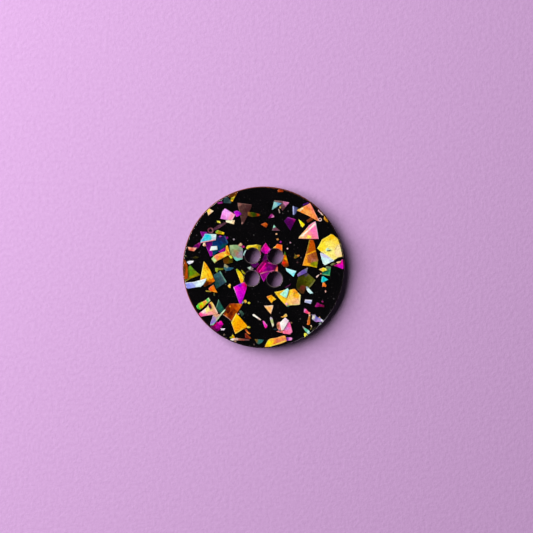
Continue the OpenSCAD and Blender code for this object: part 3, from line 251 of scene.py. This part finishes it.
        (29.7, 23.1, [(29.7, 23.1, 230, 190, 195)]),
        (-36.6, 34.5, [(-36.6, 34.5, 150, 135, 145)]),
        (-30.8, -57.8, [(-30.8, -57.8, 180, 140, 180)]),
        (34.6, -68.6, [(34.6, -68.6, 120, 90, 60)]),
        (-48.6, -83.4, [(-48.6, -83.4, 110, 90, 80)]),
        (-11.5, -95.6, [(-11.5, -95.6, 90, 70, 70)]),
        (42, 6, [(42, 6, 90, 60, 60)]),
        (71, -8, [(71, -8, 200, 150, 120)]),
    ],
}
FALLBACK = {"fine_specks": (62, 58, 60)}
# these films are smoother than the rest: their grain is this much of the others'
CALM = {"flakes_mint": 0.6, "flakes_ice": 0.4, "flakes_cyan": 0.5, "flakes_white": 0.4, "flakes_lavender": 0.5, "flakes_pink": 0.6, "flakes_peach": 0.7, "flakes_yellow": 0.65}


def linear(c):
    c = np.asarray(c, float) / 255
    return np.where(c <= 0.04045, c / 12.92, ((c + 0.055) / 1.055) ** 2.4)


# ---- shards: outlines from the CAD, then a fine mesh for each --------------

def islands(obj):
    """Each shard's top outline loops, in metres, with its top and bottom height."""
    me = obj.data
    co = np.empty(len(me.vertices) * 3)
    me.vertices.foreach_get("co", co)
    co = co.reshape(-1, 3)
    key, index = {}, np.empty(len(co), int)
    for i, c in enumerate(np.round(co, 8)):
        index[i] = key.setdefault(tuple(c), len(key))
    pts = np.array(sorted(key, key=key.get))
    faces = [[int(index[v]) for v in p.vertices] for p in me.polygons]
    parent = list(range(len(pts)))

    def root(a):
        while parent[a] != a:
            parent[a] = parent[parent[a]]
            a = parent[a]
        return a
    for f in faces:
        for v in f[1:]:
            parent[root(v)] = root(f[0])
    groups = {}
    for f in faces:
        groups.setdefault(root(f[0]), []).append(f)
    out = []
    for g in sorted(groups):
        fs = groups[g]
        used = sorted({v for f in fs for v in f})
        z1, z0 = pts[used, 2].max(), pts[used, 2].min()
        top = [f for f in fs if all(abs(pts[v, 2] - z1) < 2e-6 for v in f)]
        after = {}
        edges = set()
        for f in top:
            for a, b in zip(f, f[1:] + f[:1]):
                if a != b:
                    edges.add((a, b))
        for a, b in edges:
            if (b, a) not in edges:
                after[a] = b
        loops, seen = [], set()
        for s in sorted(after):
            if s in seen:
                continue
            loop, v = [], s
            while v not in seen and v in after:
                seen.add(v)
                loop.append(v)
                v = after[v]
            if len(loop) > 2:
                loops.append(pts[loop, :2])
        out.append((loops, z0, z1))
    return out


def even_odd(p, loops):
    inside = np.zeros(len(p), bool)
    for loop in loops:
        a, b = loop, np.roll(loop, -1, 0)
        for (x1, y1), (x2, y2) in zip(a, b):
            if y1 == y2:
                continue
            hit = ((y1 > p[:, 1]) != (y2 > p[:, 1])) & (p[:, 0] < (x2 - x1) * (p[:, 1] - y1) / (y2 - y1) + x1)
            inside ^= hit
    return inside


def to_segments(p, a, b):
    """Distance of each point in p to the nearest of the segments a-b."""
    best = np.full(len(p), 1e9)
    for s, e in zip(a, b):
        d = e - s
        t = np.clip(((p - s) @ d) / max(d @ d, 1e-12), 0, 1)
        best = np.minimum(best, np.hypot(*(p - s - t[:, None] * d).T))
    return best


def tint(p, marks, streaks, seed, edge_a, edge_b, coarse):
    """Linear colour of each point (hundredths of the radius): facets and blends of the shard's tints, folds and streaks
    that are partly painted highlights, and painted highlights and shade along the cut edges.
    """
    # the borders between tints wander a little
    wander = np.array([noise.noise_vector(Vector((x * 0.3, y * 0.3, seed + 9)))[:2] for x, y in p]) * 1.1
    q = p + wander
    depth = DEPTH * (1 + 0.0008 * p[:, 0].mean())
    src = [(m[0], m[1], linear(m[2:5]) * depth) for m in marks]
    col = np.zeros((len(p), 3))
    for power, share in ((3.2, 0.28), (14.0, 0.72)):
        ws, cs = np.zeros(len(p)), np.zeros((len(p), 3))
        for x, y, c in src:
            d = np.hypot(q[:, 0] - x, q[:, 1] - y)
            w = (d + 0.4) ** -power
            ws += w
            cs += w[:, None] * c
        col += share * cs / ws[:, None]
    # folds and streaks: partly the foil's own colour, partly painted highlights where a fold or crease catches the lamp
    for x0, y0, x1, y1, r0, g0, b0, r1, g1, b1, *wide in streaks:
        wide = wide[0] if wide else 1.0
        s, e = np.array([x0, y0]), np.array([x1, y1])
        d = e - s
        t = np.clip(((p - s) @ d) / (d @ d), 0, 1)
        dist = np.hypot(*(p - s - t[:, None] * d).T)
        w = np.clip(1.35 - dist / (0.9 * wide), 0, 1)
        w = w * w * (3 - 2 * w)
        c = ((1 - t)[:, None] * linear((r0, g0, b0)) + t[:, None] * linear((r1, g1, b1))) * depth
        col = col * (1 - w[:, None]) + c * w[:, None]
    # slow drift of brightness and hue over the crumpled foil, and the fine ruled grain of the film
    a = seed * 1.7
    along = p @ np.array([math.cos(a), math.sin(a)])
    across = p @ np.array([-math.sin(a), math.cos(a)])
    drift = np.array([noise.noise(Vector((x * 0.16 + seed, y * 0.16, seed * 0.7))) for x, y in p])
    fine = np.array([noise.noise(Vector((x * 0.55, y * 0.55 + seed, seed * 1.3))) for x, y in p])
    grain = np.array([noise.noise(Vector((s * 0.12, t * 1.05, seed * 2.1))) for s, t in zip(along, across)])
    speck = np.array([noise.noise(Vector((x * 0.85 + seed, y * 0.85, seed * 0.9))) for x, y in p])
    col = col * (1 + coarse * (0.16 * drift + 0.26 * fine + 0.28 * grain + 0.34 * speck))[:, None]
    col[:, 1] *= 1 + coarse * (0.22 * speck + 0.1 * fine)
    col[:, 0] *= 1 + 0.10 * grain - 0.08 * drift
    col[:, 2] *= 1 - 0.12 * grain + 0.10 * fine
    # painted highlight along the cut edges that face the lamp, painted shade along those turned away from it
    best, side = np.full(len(p), 1e9), np.zeros(len(p))
    to_light = np.array([math.cos(math.radians(155)), math.sin(math.radians(155))])
    for s, e in zip(edge_a, edge_b):
        d = e - s
        if d @ d < 1e-12:
            continue
        t = np.clip(((p - s) @ d) / (d @ d), 0, 1)
        dist = np.hypot(*(p - s - t[:, None] * d).T)
        out = np.array([d[1], -d[0]]) / math.sqrt(d @ d)
        nearer = dist < best
        side = np.where(nearer, out @ to_light, side)
        best = np.minimum(best, dist)
    rim = np.clip(1 - best / 0.75, 0, 1)
    painted_edge_highlight = rim * np.clip(side + 0.15, 0, 1)
    painted_edge_shade = rim * np.clip(-side, 0, 1)
    pale = col.max(1, keepdims=True)
    col = col + (0.35 * painted_edge_highlight)[:, None] * (0.45 * pale + 0.55 * col)
    col = col * (1 - 0.3 * painted_edge_shade)[:, None]
    return np.clip(col, 0, 1)


def build_shards(name, spacing=0.8):
    """One mesh for a CAD foil node: every shard a thin, slightly crumpled plate that carries its tints."""
    cos, sin = math.cos(-TURN), math.sin(-TURN)
    verts, faces, colours = [], [], []
    entries = TINTS[name]
    for loops, z0, z1 in islands(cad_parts[name]):
        # into the scatter's own axes, in hundredths of the radius
        loops = [np.stack([(l[:, 0] * cos - l[:, 1] * sin) / U, (l[:, 0] * sin + l[:, 1] * cos) / U], 1) for l in loops]
        allp = np.concatenate(loops)
        mid = (allp.max(0) + allp.min(0)) / 2
        size = float((allp.max(0) - allp.min(0)).max())
        best = min(entries, key=lambda e: math.hypot(e[0] - mid[0], e[1] - mid[1]))
        marks, streaks = best[2], (best[3] if len(best) > 3 else [])
        if math.hypot(best[0] - mid[0], best[1] - mid[1]) > 5:
            g = FALLBACK.get(name, best[2][0][2:5])
            marks, streaks = [(mid[0], mid[1]) + tuple(g)], []
        step = spacing if size > 6 else spacing * 0.6
        edge_pts, loop_ids, cons = [], [], []
        for l in loops:
            ids = []
            for a, b in zip(l, np.roll(l, -1, 0)):
                n = max(1, int(round(np.hypot(*(b - a)) / step)))
                for k in range(n):
                    ids.append(len(edge_pts))
                    edge_pts.append(a + (b - a) * k / n)
            cons += [(ids[i], ids[(i + 1) % len(ids)]) for i in range(len(ids))]
            loop_ids.append(ids)
        edge_pts = np.array(edge_pts)
        lo, hi = allp.min(0), allp.max(0)
        rows = []
        for j, y in enumerate(np.arange(lo[1], hi[1], step * 0.87)):
            xs = np.arange(lo[0] + (step / 2 if j % 2 else 0), hi[0], step)
            rows.append(np.stack([xs, np.full(len(xs), y)], 1))
        grid = np.concatenate(rows) if rows else np.zeros((0, 2))
        seg_a = np.concatenate(loops)
        seg_b = np.concatenate([np.roll(l, -1, 0) for l in loops])
        if len(grid):
            grid = grid[even_odd(grid, loops)]
        if len(grid):
            grid = grid[to_segments(grid, seg_a, seg_b) > step * 0.5]
        pts = np.concatenate([edge_pts, grid]) if len(grid) else edge_pts
        res = delaunay_2d_cdt([Vector(p) for p in pts], cons, [], 0, 1e-6)
        out_p = np.array([list(v) for v in res[0]])
        tris = [list(f) for f in res[2]]
        mids = np.array([out_p[t].mean(0) for t in tris])
        keep = even_odd(mids, loops)
        tris = [t for t, k in zip(tris, keep) if k]
        # face up
        tris = [t if np.cross(out_p[t[1]] - out_p[t[0]], out_p[t[2]] - out_p[t[0]]) > 0 else t[::-1] for t in tris]
        seed = (mid[0] * 0.37 + mid[1] * 0.73) % 17 + 3
        # the plate lies level, crumpled by a few thousandths of a millimetre and tipped a little
        ang = seed * 2.4
        tip = ((out_p - mid) @ np.array([math.cos(ang), math.sin(ang)])) / max(size, 4)
        bend = np.array([noise.noise(Vector((x * 0.11, y * 0.11, seed))) for x, y in out_p])
        crumple = np.array([noise.noise(Vector((x * 0.33, y * 0.33, seed + 5))) for x, y in out_p])
        zt = (z1 - 0.002 * MM) + MM * (0.008 * tip + 0.008 * bend + 0.0035 * crumple)
        thick = 0.014 * MM
        col = tint(out_p, marks, streaks, seed, seg_a, seg_b, CALM.get(name, 1.0))
        x = (out_p[:, 0] * math.cos(TURN) - out_p[:, 1] * math.sin(TURN)) * U
        y = (out_p[:, 0] * math.sin(TURN) + out_p[:, 1] * math.cos(TURN)) * U
        n0, n = len(verts), len(out_p)
        verts += list(zip(x, y, zt)) + list(zip(x, y, zt - thick))
        colours += [tuple(c) for c in col] + [tuple(c * 0.55) for c in col]
        faces += [[n0 + v for v in t] for t in tris]
        faces += [[n0 + n + v for v in t[::-1]] for t in tris]
        rim = {}
        for t in tris:
            for a, b in zip(t, t[1:] + t[:1]):
                rim[(a, b)] = True
        for a, b in list(rim):
            if (b, a) not in rim:
                faces.append([n0 + b, n0 + a, n0 + n + a, n0 + n + b])
    me = bpy.data.meshes.new("foil_" + name)
    me.from_pydata([tuple(map(float, v)) for v in verts], [], faces)
    att = me.color_attributes.new("foil_tint", "FLOAT_COLOR", "POINT")
    flat = np.ones((len(verts), 4), np.float32)
    flat[:, :3] = np.array(colours)
    att.data.foreach_set("color", flat.ravel())
    me.color_attributes.active_color = att
    me.color_attributes.render_color_index = 0
    me.shade_smooth()
    me.set_sharp_from_angle(angle=math.radians(40))
    me.update()
    obj = bpy.data.objects.new("foil_" + name, me)
    bpy.context.scene.collection.objects.link(obj)
    return obj


# ---- clear resin: the outer skin only, with its rim and hole mouths --------

def build_resin():
    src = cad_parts["clear_face"]
    bm = bmesh.new()
    bm.from_mesh(src.data)
    bmesh.ops.remove_doubles(bm, verts=bm.verts, dist=1e-8)
    bm.verts.ensure_lookup_table()
    seen, best = set(), []
    for v in bm.verts:
        if v in seen:
            continue
        stack, part = [v], []
        seen.add(v)
        while stack:
            w = stack.pop()
            part.append(w)
            for e in w.link_edges:
                o = e.other_vert(w)
                if o not in seen:
                    seen.add(o)
                    stack.append(o)
        if len(part) > len(best):
            best = part
    keep = set(best)
    bmesh.ops.delete(bm, geom=[v for v in bm.verts if v not in keep], context="VERTS")
    # open underneath, where the resin is bonded to the black disc
    under = [f for f in bm.faces if f.normal.z < -0.999]
    bmesh.ops.delete(bm, geom=under, context="FACES")
    for f in bm.faces:
        f.smooth = True
    for e in bm.edges:
        flat = [abs(f.normal.z) > 0.9999 for f in e.link_faces]
        if len(flat) == 2 and (flat[0] != flat[1] or e.calc_face_angle(0) > math.radians(35)):
            e.smooth = False
    me = bpy.data.meshes.new("resin_cap")
    bm.to_mesh(me)
    bm.free()
    obj = bpy.data.objects.new("resin_cap", me)
    bpy.context.scene.collection.objects.link(obj)
    return obj


# ---- materials --------------------------------------------------------------

def new_material(name):
    m = bpy.data.materials.new(name)
    m.use_nodes = True
    nt = m.node_tree
    nt.nodes.clear()
    out = nt.nodes.new("ShaderNodeOutputMaterial")
    return m, nt, out


def add(nt, kind, **values):
    n = nt.nodes.new(kind)
    for k, v in values.items():
        if k in n.inputs:
            n.inputs[k].default_value = v
        else:
            setattr(n, k, v)
    return n


def foil_material(name, metal, rough, film):
    m, nt, out = new_material(name)
    L = nt.links
    p = add(nt, "ShaderNodeBsdfPrincipled", Metallic=metal, Roughness=rough)
    p.inputs["Specular IOR Level"].default_value = 0.06
    p.inputs["Thin Film Thickness"].default_value = film
    p.inputs["Thin Film IOR"].default_value = 1.15
    att = add(nt, "ShaderNodeVertexColor")
    att.layer_name = "foil_tint"
    co = add(nt, "ShaderNodeTexCoord")
    # mottling of the film, a tenth of a millimetre across
    n1 = add(nt, "ShaderNodeTexNoise", Scale=6500.0, Detail=3.0, Roughness=0.6)
    r1 = add(nt, "ShaderNodeMapRange")
    r1.inputs["From Min"].default_value = 0.3
    r1.inputs["From Max"].default_value = 0.7
    r1.inputs["To Min"].default_value = 0.86
    r1.inputs["To Max"].default_value = 1.1
    mul = add(nt, "ShaderNodeVectorMath", operation="MULTIPLY")
    L.new(co.outputs["Object"], n1.inputs["Vector"])
    L.new(n1.outputs["Fac"], r1.inputs["Value"])
    L.new(att.outputs["Color"], mul.inputs[0])
    L.new(r1.outputs["Result"], mul.inputs[1])
    # the fine ruled grain of the film
    rule = add(nt, "ShaderNodeMapping")
    rule.inputs["Scale"].default_value = (1.0, 12.0, 1.0)
    rule.inputs["Rotation"].default_value = (0, 0, film * 0.017)
    L.new(co.outputs["Object"], rule.inputs["Vector"])
    lines = add(nt, "ShaderNodeTexNoise", Scale=1500.0, Detail=2.0, Roughness=0.5)
    L.new(rule.outputs["Vector"], lines.inputs["Vector"])
    soft = add(nt, "ShaderNodeMapRange")
    soft.inputs["From Min"].default_value = 0.35
    soft.inputs["From Max"].default_value = 0.65
    soft.inputs["To Min"].default_value = 0.88
    soft.inputs["To Max"].default_value = 1.06
    L.new(lines.outputs["Fac"], soft.inputs["Value"])
    ruled = add(nt, "ShaderNodeVectorMath", operation="MULTIPLY")
    L.new(mul.outputs["Vector"], ruled.inputs[0])
    L.new(soft.outputs["Result"], ruled.inputs[1])
    L.new(ruled.outputs["Vector"], p.inputs["Base Color"])
    # crumple of the foil
    n2 = add(nt, "ShaderNodeTexNoise", Scale=2200.0, Detail=4.0, Roughness=0.55)
    L.new(co.outputs["Object"], n2.inputs["Vector"])
    b = add(nt, "ShaderNodeBump", Strength=0.35, Distance=0.00004)
    L.new(n2.outputs["Fac"], b.inputs["Height"])
    L.new(b.outputs["Normal"], p.inputs["Normal"])
    r2 = add(nt, "ShaderNodeMapRange")
    r2.inputs["To Min"].default_value = rough - 0.06
    r2.inputs["To Max"].default_value = rough + 0.05
    L.new(n2.outputs["Fac"], r2.inputs["Value"])
    L.new(r2.outputs["Result"], p.inputs["Roughness"])
    L.new(p.outputs["BSDF"], out.inputs["Surface"])
    return m


def backing_material():
    m, nt, out = new_material("black_backing")
    L = nt.links
    p = add(nt, "ShaderNodeBsdfPrincipled", Metallic=0.0, Roughness=0.08)
    p.inputs["Specular IOR Level"].default_value = 0.25
    co = add(nt, "ShaderNodeTexCoord")
    # fine grey dust set in the black
    v = add(nt, "ShaderNodeTexVoronoi", feature="F1", Scale=3600.0, Randomness=1.0)
    L.new(co.outputs["Object"], v.inputs["Vector"])
    near = add(nt, "ShaderNodeMapRange")
    near.inputs["From Min"].default_value = 0.05
    near.inputs["From Max"].default_value = 0.28
    near.inputs["To Min"].default_value = 1.0
    near.inputs["To Max"].default_value = 0.0
    L.new(v.outputs["Distance"], near.inputs["Value"])
    sep = add(nt, "ShaderNodeSeparateColor")
    L.new(v.outputs["Color"], sep.inputs["Color"])
    few = add(nt, "ShaderNodeMapRange")
    few.inputs["From Min"].default_value = 0.8
    few.inputs["From Max"].default_value = 1.0
    L.new(sep.outputs["Red"], few.inputs["Value"])
    dust = add(nt, "ShaderNodeMath", operation="MULTIPLY")
    L.new(near.outputs["Result"], dust.inputs[0])
    L.new(few.outputs["Result"], dust.inputs[1])
    cloud = add(nt, "ShaderNodeTexNoise", Scale=420.0, Detail=5.0, Roughness=0.6)
    L.new(co.outputs["Object"], cloud.inputs["Vector"])
    base = add(nt, "ShaderNodeValToRGB")
    base.color_ramp.elements[0].position = 0.35
    base.color_ramp.elements[0].color = (0.0004, 0.0003, 0.0005, 1)
    base.color_ramp.elements[1].position = 0.75
    base.color_ramp.elements[1].color = (0.0016, 0.0011, 0.0016, 1)
    L.new(cloud.outputs["Fac"], base.inputs["Fac"])
    mix = add(nt, "ShaderNodeMix", data_type="RGBA")
    L.new(dust.outputs["Value"], mix.inputs["Factor"])
    L.new(base.outputs["Color"], mix.inputs[6])
    mix.inputs[7].default_value = (0.045, 0.036, 0.038, 1)
    L.new(mix.outputs[2], p.inputs["Base Color"])
    n2 = add(nt, "ShaderNodeTexNoise", Scale=1500.0, Detail=4.0)
    L.new(co.outputs["Object"], n2.inputs["Vector"])
    b = add(nt, "ShaderNodeBump", Strength=0.12, Distance=0.00002)
    L.new(n2.outputs["Fac"], b.inputs["Height"])
    L.new(b.outputs["Normal"], p.inputs["Normal"])
    r2 = add(nt, "ShaderNodeMapRange")
    r2.inputs["To Min"].default_value = 0.05
    r2.inputs["To Max"].default_value = 0.11
    L.new(n2.outputs["Fac"], r2.inputs["Value"])
    L.new(r2.outputs["Result"], p.inputs["Roughness"])
    L.new(p.outputs["BSDF"], out.inputs["Surface"])
    return m


def resin_material():
    m, nt, out = new_material("clear_resin")
    L = nt.links
    co = add(nt, "ShaderNodeTexCoord")
    # hairline scratches of handling, very slight
    stretch = add(nt, "ShaderNodeMapping")
    stretch.inputs["Scale"].default_value = (1.0, 9.0, 1.0)
    stretch.inputs["Rotation"].default_value = (0, 0, 0.6)
    L.new(co.outputs["Object"], stretch.inputs["Vector"])
    n = add(nt, "ShaderNodeTexNoise", Scale=900.0, Detail=4.0, Roughness=0.6)
    L.new(stretch.outputs["Vector"], n.inputs["Vector"])
    rough = add(nt, "ShaderNodeMapRange")
    rough.inputs["From Min"].default_value = 0.35
    rough.inputs["From Max"].default_value = 0.75
    rough.inputs["To Min"].default_value = 0.01
    rough.inputs["To Max"].default_value = 0.05
    L.new(n.outputs["Fac"], rough.inputs["Value"])
    bump = add(nt, "ShaderNodeBump", Strength=0.03, Distance=0.00001)
    L.new(n.outputs["Fac"], bump.inputs["Height"])
    # clear resin bends what is behind it, and lets the lamp through to the foil
    glass = add(nt, "ShaderNodeBsdfGlass", IOR=1.5)
    glass.inputs["Color"].default_value = (0.992, 0.992, 0.988, 1)
    L.new(rough.outputs["Result"], glass.inputs["Roughness"])
    L.new(bump.outputs["Normal"], glass.inputs["Normal"])
    clear = add(nt, "ShaderNodeBsdfTransparent")
    level_z = add(nt, "ShaderNodeNewGeometry")
    part = add(nt, "ShaderNodeSeparateXYZ")
    L.new(level_z.outputs["Normal"], part.inputs["Vector"])
    steep = add(nt, "ShaderNodeMath", operation="ABSOLUTE")
    L.new(part.outputs["Z"], steep.inputs[0])
    upright = add(nt, "ShaderNodeMath", operation="LESS_THAN")
    upright.inputs[1].default_value = 0.3
    L.new(steep.outputs["Value"], upright.inputs[0])
    spot = add(nt, "ShaderNodeVectorMath", operation="MULTIPLY")
    spot.inputs[1].default_value = (1.0, 1.0, 0.0)
    L.new(co.outputs["Object"], spot.inputs[0])
    out_of_middle = add(nt, "ShaderNodeVectorMath", operation="LENGTH")
    L.new(spot.outputs["Vector"], out_of_middle.inputs[0])
    inner = add(nt, "ShaderNodeMath", operation="LESS_THAN")
    inner.inputs[1].default_value = 0.011
    L.new(out_of_middle.outputs["Value"], inner.inputs[0])
    drilled = add(nt, "ShaderNodeMath", operation="MULTIPLY")
    L.new(upright.outputs["Value"], drilled.inputs[0])
    L.new(inner.outputs["Value"], drilled.inputs[1])
    passes = add(nt, "ShaderNodeMix", data_type="RGBA")
    L.new(drilled.outputs["Value"], passes.inputs[0])
    passes.inputs[6].default_value = (0.97, 0.97, 0.965, 1)
    passes.inputs[7].default_value = (0.55, 0.52, 0.55, 1)
    L.new(passes.outputs[2], clear.inputs["Color"])
    path = add(nt, "ShaderNodeLightPath")
    lets = add(nt, "ShaderNodeMath", operation="MAXIMUM")
    L.new(path.outputs["Is Shadow Ray"], lets.inputs[0])
    L.new(path.outputs["Is Diffuse Ray"], lets.inputs[1])
    see = add(nt, "ShaderNodeMixShader")
    L.new(lets.outputs["Value"], see.inputs["Fac"])
    L.new(glass.outputs["BSDF"], see.inputs[1])
    L.new(clear.outputs["BSDF"], see.inputs[2])
    # painted light on the rounded rim and the hole mouths: a plain diffuse band over the fillet that covers most of the
    # glass's own highlight
    geo = add(nt, "ShaderNodeNewGeometry")
    sep = add(nt, "ShaderNodeSeparateXYZ")
    L.new(geo.outputs["Normal"], sep.inputs["Vector"])
    slope = add(nt, "ShaderNodeMapRange", interpolation_type="SMOOTHSTEP")
    slope.inputs["From Min"].default_value = 0.998
    slope.inputs["From Max"].default_value = 0.93
    L.new(sep.outputs["Z"], slope.inputs["Value"])
    low = add(nt, "ShaderNodeMapRange", interpolation_type="SMOOTHSTEP")
    low.inputs["From Min"].default_value = 0.05
    low.inputs["From Max"].default_value = 0.4
    L.new(sep.outputs["Z"], low.inputs["Value"])
    band = add(nt, "ShaderNodeMath", operation="MULTIPLY")
    L.new(slope.outputs["Result"], band.inputs[0])
    L.new(low.outputs["Result"], band.inputs[1])
    # on the outer rim a painted amber glow on the lamp's side and painted shade, near black, elsewhere; a painted grey
    # highlight line at the mouths of the thread holes
    where = add(nt, "ShaderNodeSeparateXYZ")
    L.new(co.outputs["Object"], where.inputs["Vector"])
    level = add(nt, "ShaderNodeCombineXYZ")
    L.new(where.outputs["X"], level.inputs["X"])
    L.new(where.outputs["Y"], level.inputs["Y"])
    radius = add(nt, "ShaderNodeVectorMath", operation="LENGTH")
    L.new(level.outputs["Vector"], radius.inputs[0])
    outer = add(nt, "ShaderNodeMath", operation="GREATER_THAN")
    outer.inputs[1].default_value = 0.011
    L.new(radius.outputs["Value"], outer.inputs[0])
    def towards(x, y, near, far):
        """1 on the part of the rim that lies this way from the middle, falling to 0."""
        dot = add(nt, "ShaderNodeVectorMath", operation="DOT_PRODUCT")
        L.new(level.outputs["Vector"], dot.inputs[0])
        dot.inputs[1].default_value = (x / 0.0127, y / 0.0127, 0.0)
        ramp = add(nt, "ShaderNodeMapRange", interpolation_type="SMOOTHSTEP")
        ramp.inputs["From Min"].default_value = far
        ramp.inputs["From Max"].default_value = near
        L.new(dot.outputs["Value"], ramp.inputs["Value"])
        return ramp.outputs["Result"]

    # where the lamp's light comes out again, far down the rim, some of it still shows
    glint = add(nt, "ShaderNodeMapRange")
    glint.inputs["To Min"].default_value = 0.94
    glint.inputs["To Max"].default_value = 0.5
    L.new(towards(0.6, -0.8, 0.98, 0.86), glint.inputs["Value"])
    around = add(nt, "ShaderNodeMath", operation="MULTIPLY")
    L.new(band.outputs["Value"], around.inputs[0])
    L.new(glint.outputs["Result"], around.inputs[1])
    mouth = add(nt, "ShaderNodeMath", operation="MULTIPLY")
    mouth.inputs[1].default_value = 0.85
    L.new(band.outputs["Value"], mouth.inputs[0])
    share = add(nt, "ShaderNodeMix", data_type="FLOAT")
    L.new(outer.outputs["Value"], share.inputs[0])
    L.new(mouth.outputs["Value"], share.inputs[2])
    L.new(around.outputs["Value"], share.inputs[3])
    brow = add(nt, "ShaderNodeMapRange", interpolation_type="SMOOTHSTEP")
    brow.inputs["From Min"].default_value = 0.9
    brow.inputs["From Max"].default_value = 0.62
    L.new(sep.outputs["Z"], brow.inputs["Value"])
    # painted glow: amber only on the part of the rim towards the lamp
    lamp_side_glow = add(nt, "ShaderNodeMath", operation="MULTIPLY")
    L.new(towards(-0.72, 0.69, 0.45, -0.45), lamp_side_glow.inputs[0])
    L.new(brow.outputs["Result"], lamp_side_glow.inputs[1])
    # colour of the painted rim line: near black (painted shade) away from the lamp, amber (painted glow) towards it
    edge = add(nt, "ShaderNodeMix", data_type="RGBA")
    L.new(lamp_side_glow.outputs["Value"], edge.inputs[0])
    edge.inputs[6].default_value = (0.012, 0.007, 0.009, 1)
    edge.inputs[7].default_value = (0.22, 0.055, 0.012, 1)
    painted_line_colour = add(nt, "ShaderNodeMix", data_type="RGBA")
    L.new(outer.outputs["Value"], painted_line_colour.inputs[0])
    painted_line_colour.inputs[6].default_value = (0.1, 0.075, 0.075, 1)
    L.new(edge.outputs[2], painted_line_colour.inputs[7])
    # the painted rim light and mouth line, a plain diffuse lit by the lamp
    painted_rim_light = add(nt, "ShaderNodeBsdfDiffuse")
    L.new(painted_line_colour.outputs[2], painted_rim_light.inputs["Color"])
    body = add(nt, "ShaderNodeMixShader")
    L.new(share.outputs[0], body.inputs["Fac"])
    L.new(see.outputs["Shader"], body.inputs[1])
    L.new(painted_rim_light.outputs["BSDF"], body.inputs[2])
    L.new(body.outputs["Shader"], out.inputs["Surface"])
    return m


def paper_material():
    m, nt, out = new_material("pale_lilac_paper")
    L = nt.links
    p = add(nt, "ShaderNodeBsdfPrincipled", Roughness=0.9)
    p.inputs["Specular IOR Level"].default_value = 0.15
    co = add(nt, "ShaderNodeTexCoord")
    n = add(nt, "ShaderNodeTexNoise", Scale=1700.0, Detail=4.0, Roughness=0.6)
    L.new(co.outputs["Object"], n.inputs["Vector"])
    ramp = add(nt, "ShaderNodeValToRGB")
    ramp.color_ramp.elements[0].position = 0.3
    ramp.color_ramp.elements[0].color = (*linear((174, 136, 181)), 1)
    ramp.color_ramp.elements[1].position = 0.7
    ramp.color_ramp.elements[1].color = (*linear((181, 144, 188)), 1)
    L.new(n.outputs["Fac"], ramp.inputs["Fac"])
    L.new(ramp.outputs["Color"], p.inputs["Base Color"])
    b = add(nt, "ShaderNodeBump", Strength=0.5, Distance=0.00012)
    L.new(n.outputs["Fac"], b.inputs["Height"])
    L.new(b.outputs["Normal"], p.inputs["Normal"])
    L.new(p.outputs["BSDF"], out.inputs["Surface"])
    return m


# ---- put it together --------------------------------------------------------

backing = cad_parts["backing_disc"]
backing.data.materials.clear()
backing.data.materials.append(backing_material())

resin = build_resin()
resin.data.materials.append(resin_material())
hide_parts("clear_face")
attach(resin, "root")

FILM = {"flakes_magenta": 420.0, "flakes_violet": 460.0, "flakes_gold": 330.0, "flakes_yellow": 300.0, "flakes_cyan": 520.0}
for node in TINTS:
    piece = build_shards(node)
    piece.data.materials.append(foil_material("foil_" + node.replace("flakes_", ""), METAL, 0.16, FILM.get(node, 380.0)))
    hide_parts(node)
    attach(piece, "root")

# paper under the button
bm = bmesh.new()
bmesh.ops.create_grid(bm, x_segments=24, y_segments=24, size=0.6)
floor_me = bpy.data.meshes.new("paper")
bm.to_mesh(floor_me)
bm.free()
floor = bpy.data.objects.new("paper", floor_me)
floor.location = (0, 0, -0.00002)
floor_me.materials.append(paper_material())
bpy.context.scene.collection.objects.link(floor)

# large soft light, high on the left and behind
az, el, dist = math.radians(156.8), math.radians(44), 0.35
lamp_data = bpy.data.lights.new("softbox", "AREA")
lamp_data.shape = "SQUARE"
lamp_data.size = 0.33
lamp_data.energy = 3.2
lamp_data.color = (1.0, 0.985, 0.97)
lamp = bpy.data.objects.new("softbox", lamp_data)
where = Vector((math.cos(el) * math.cos(az), math.cos(el) * math.sin(az), math.sin(el))) * dist
lamp.location = where
lamp.rotation_euler = (-where).to_track_quat("-Z", "Y").to_euler()
bpy.context.scene.collection.objects.link(lamp)

world = bpy.data.worlds.new("studio")
world.use_nodes = True
world.node_tree.nodes["Background"].inputs["Color"].default_value = (0.9, 0.92, 1.0, 1)
world.node_tree.nodes["Background"].inputs["Strength"].default_value = 0.03
bpy.context.scene.world = world

cam_data = bpy.data.cameras.new("camera")
cam_data.lens = 100
cam_data.sensor_width = 24
cam_data.clip_start = 0.01
cam = bpy.data.objects.new("camera", cam_data)
cam.location = (0.000468, 0.000133, 0.3518)
cam.rotation_euler = (0, 0, math.radians(1.8))
bpy.context.scene.collection.objects.link(cam)
bpy.context.scene.camera = cam

bpy.context.scene.view_settings.view_transform = "Standard"
bpy.context.scene.view_settings.look = "None"
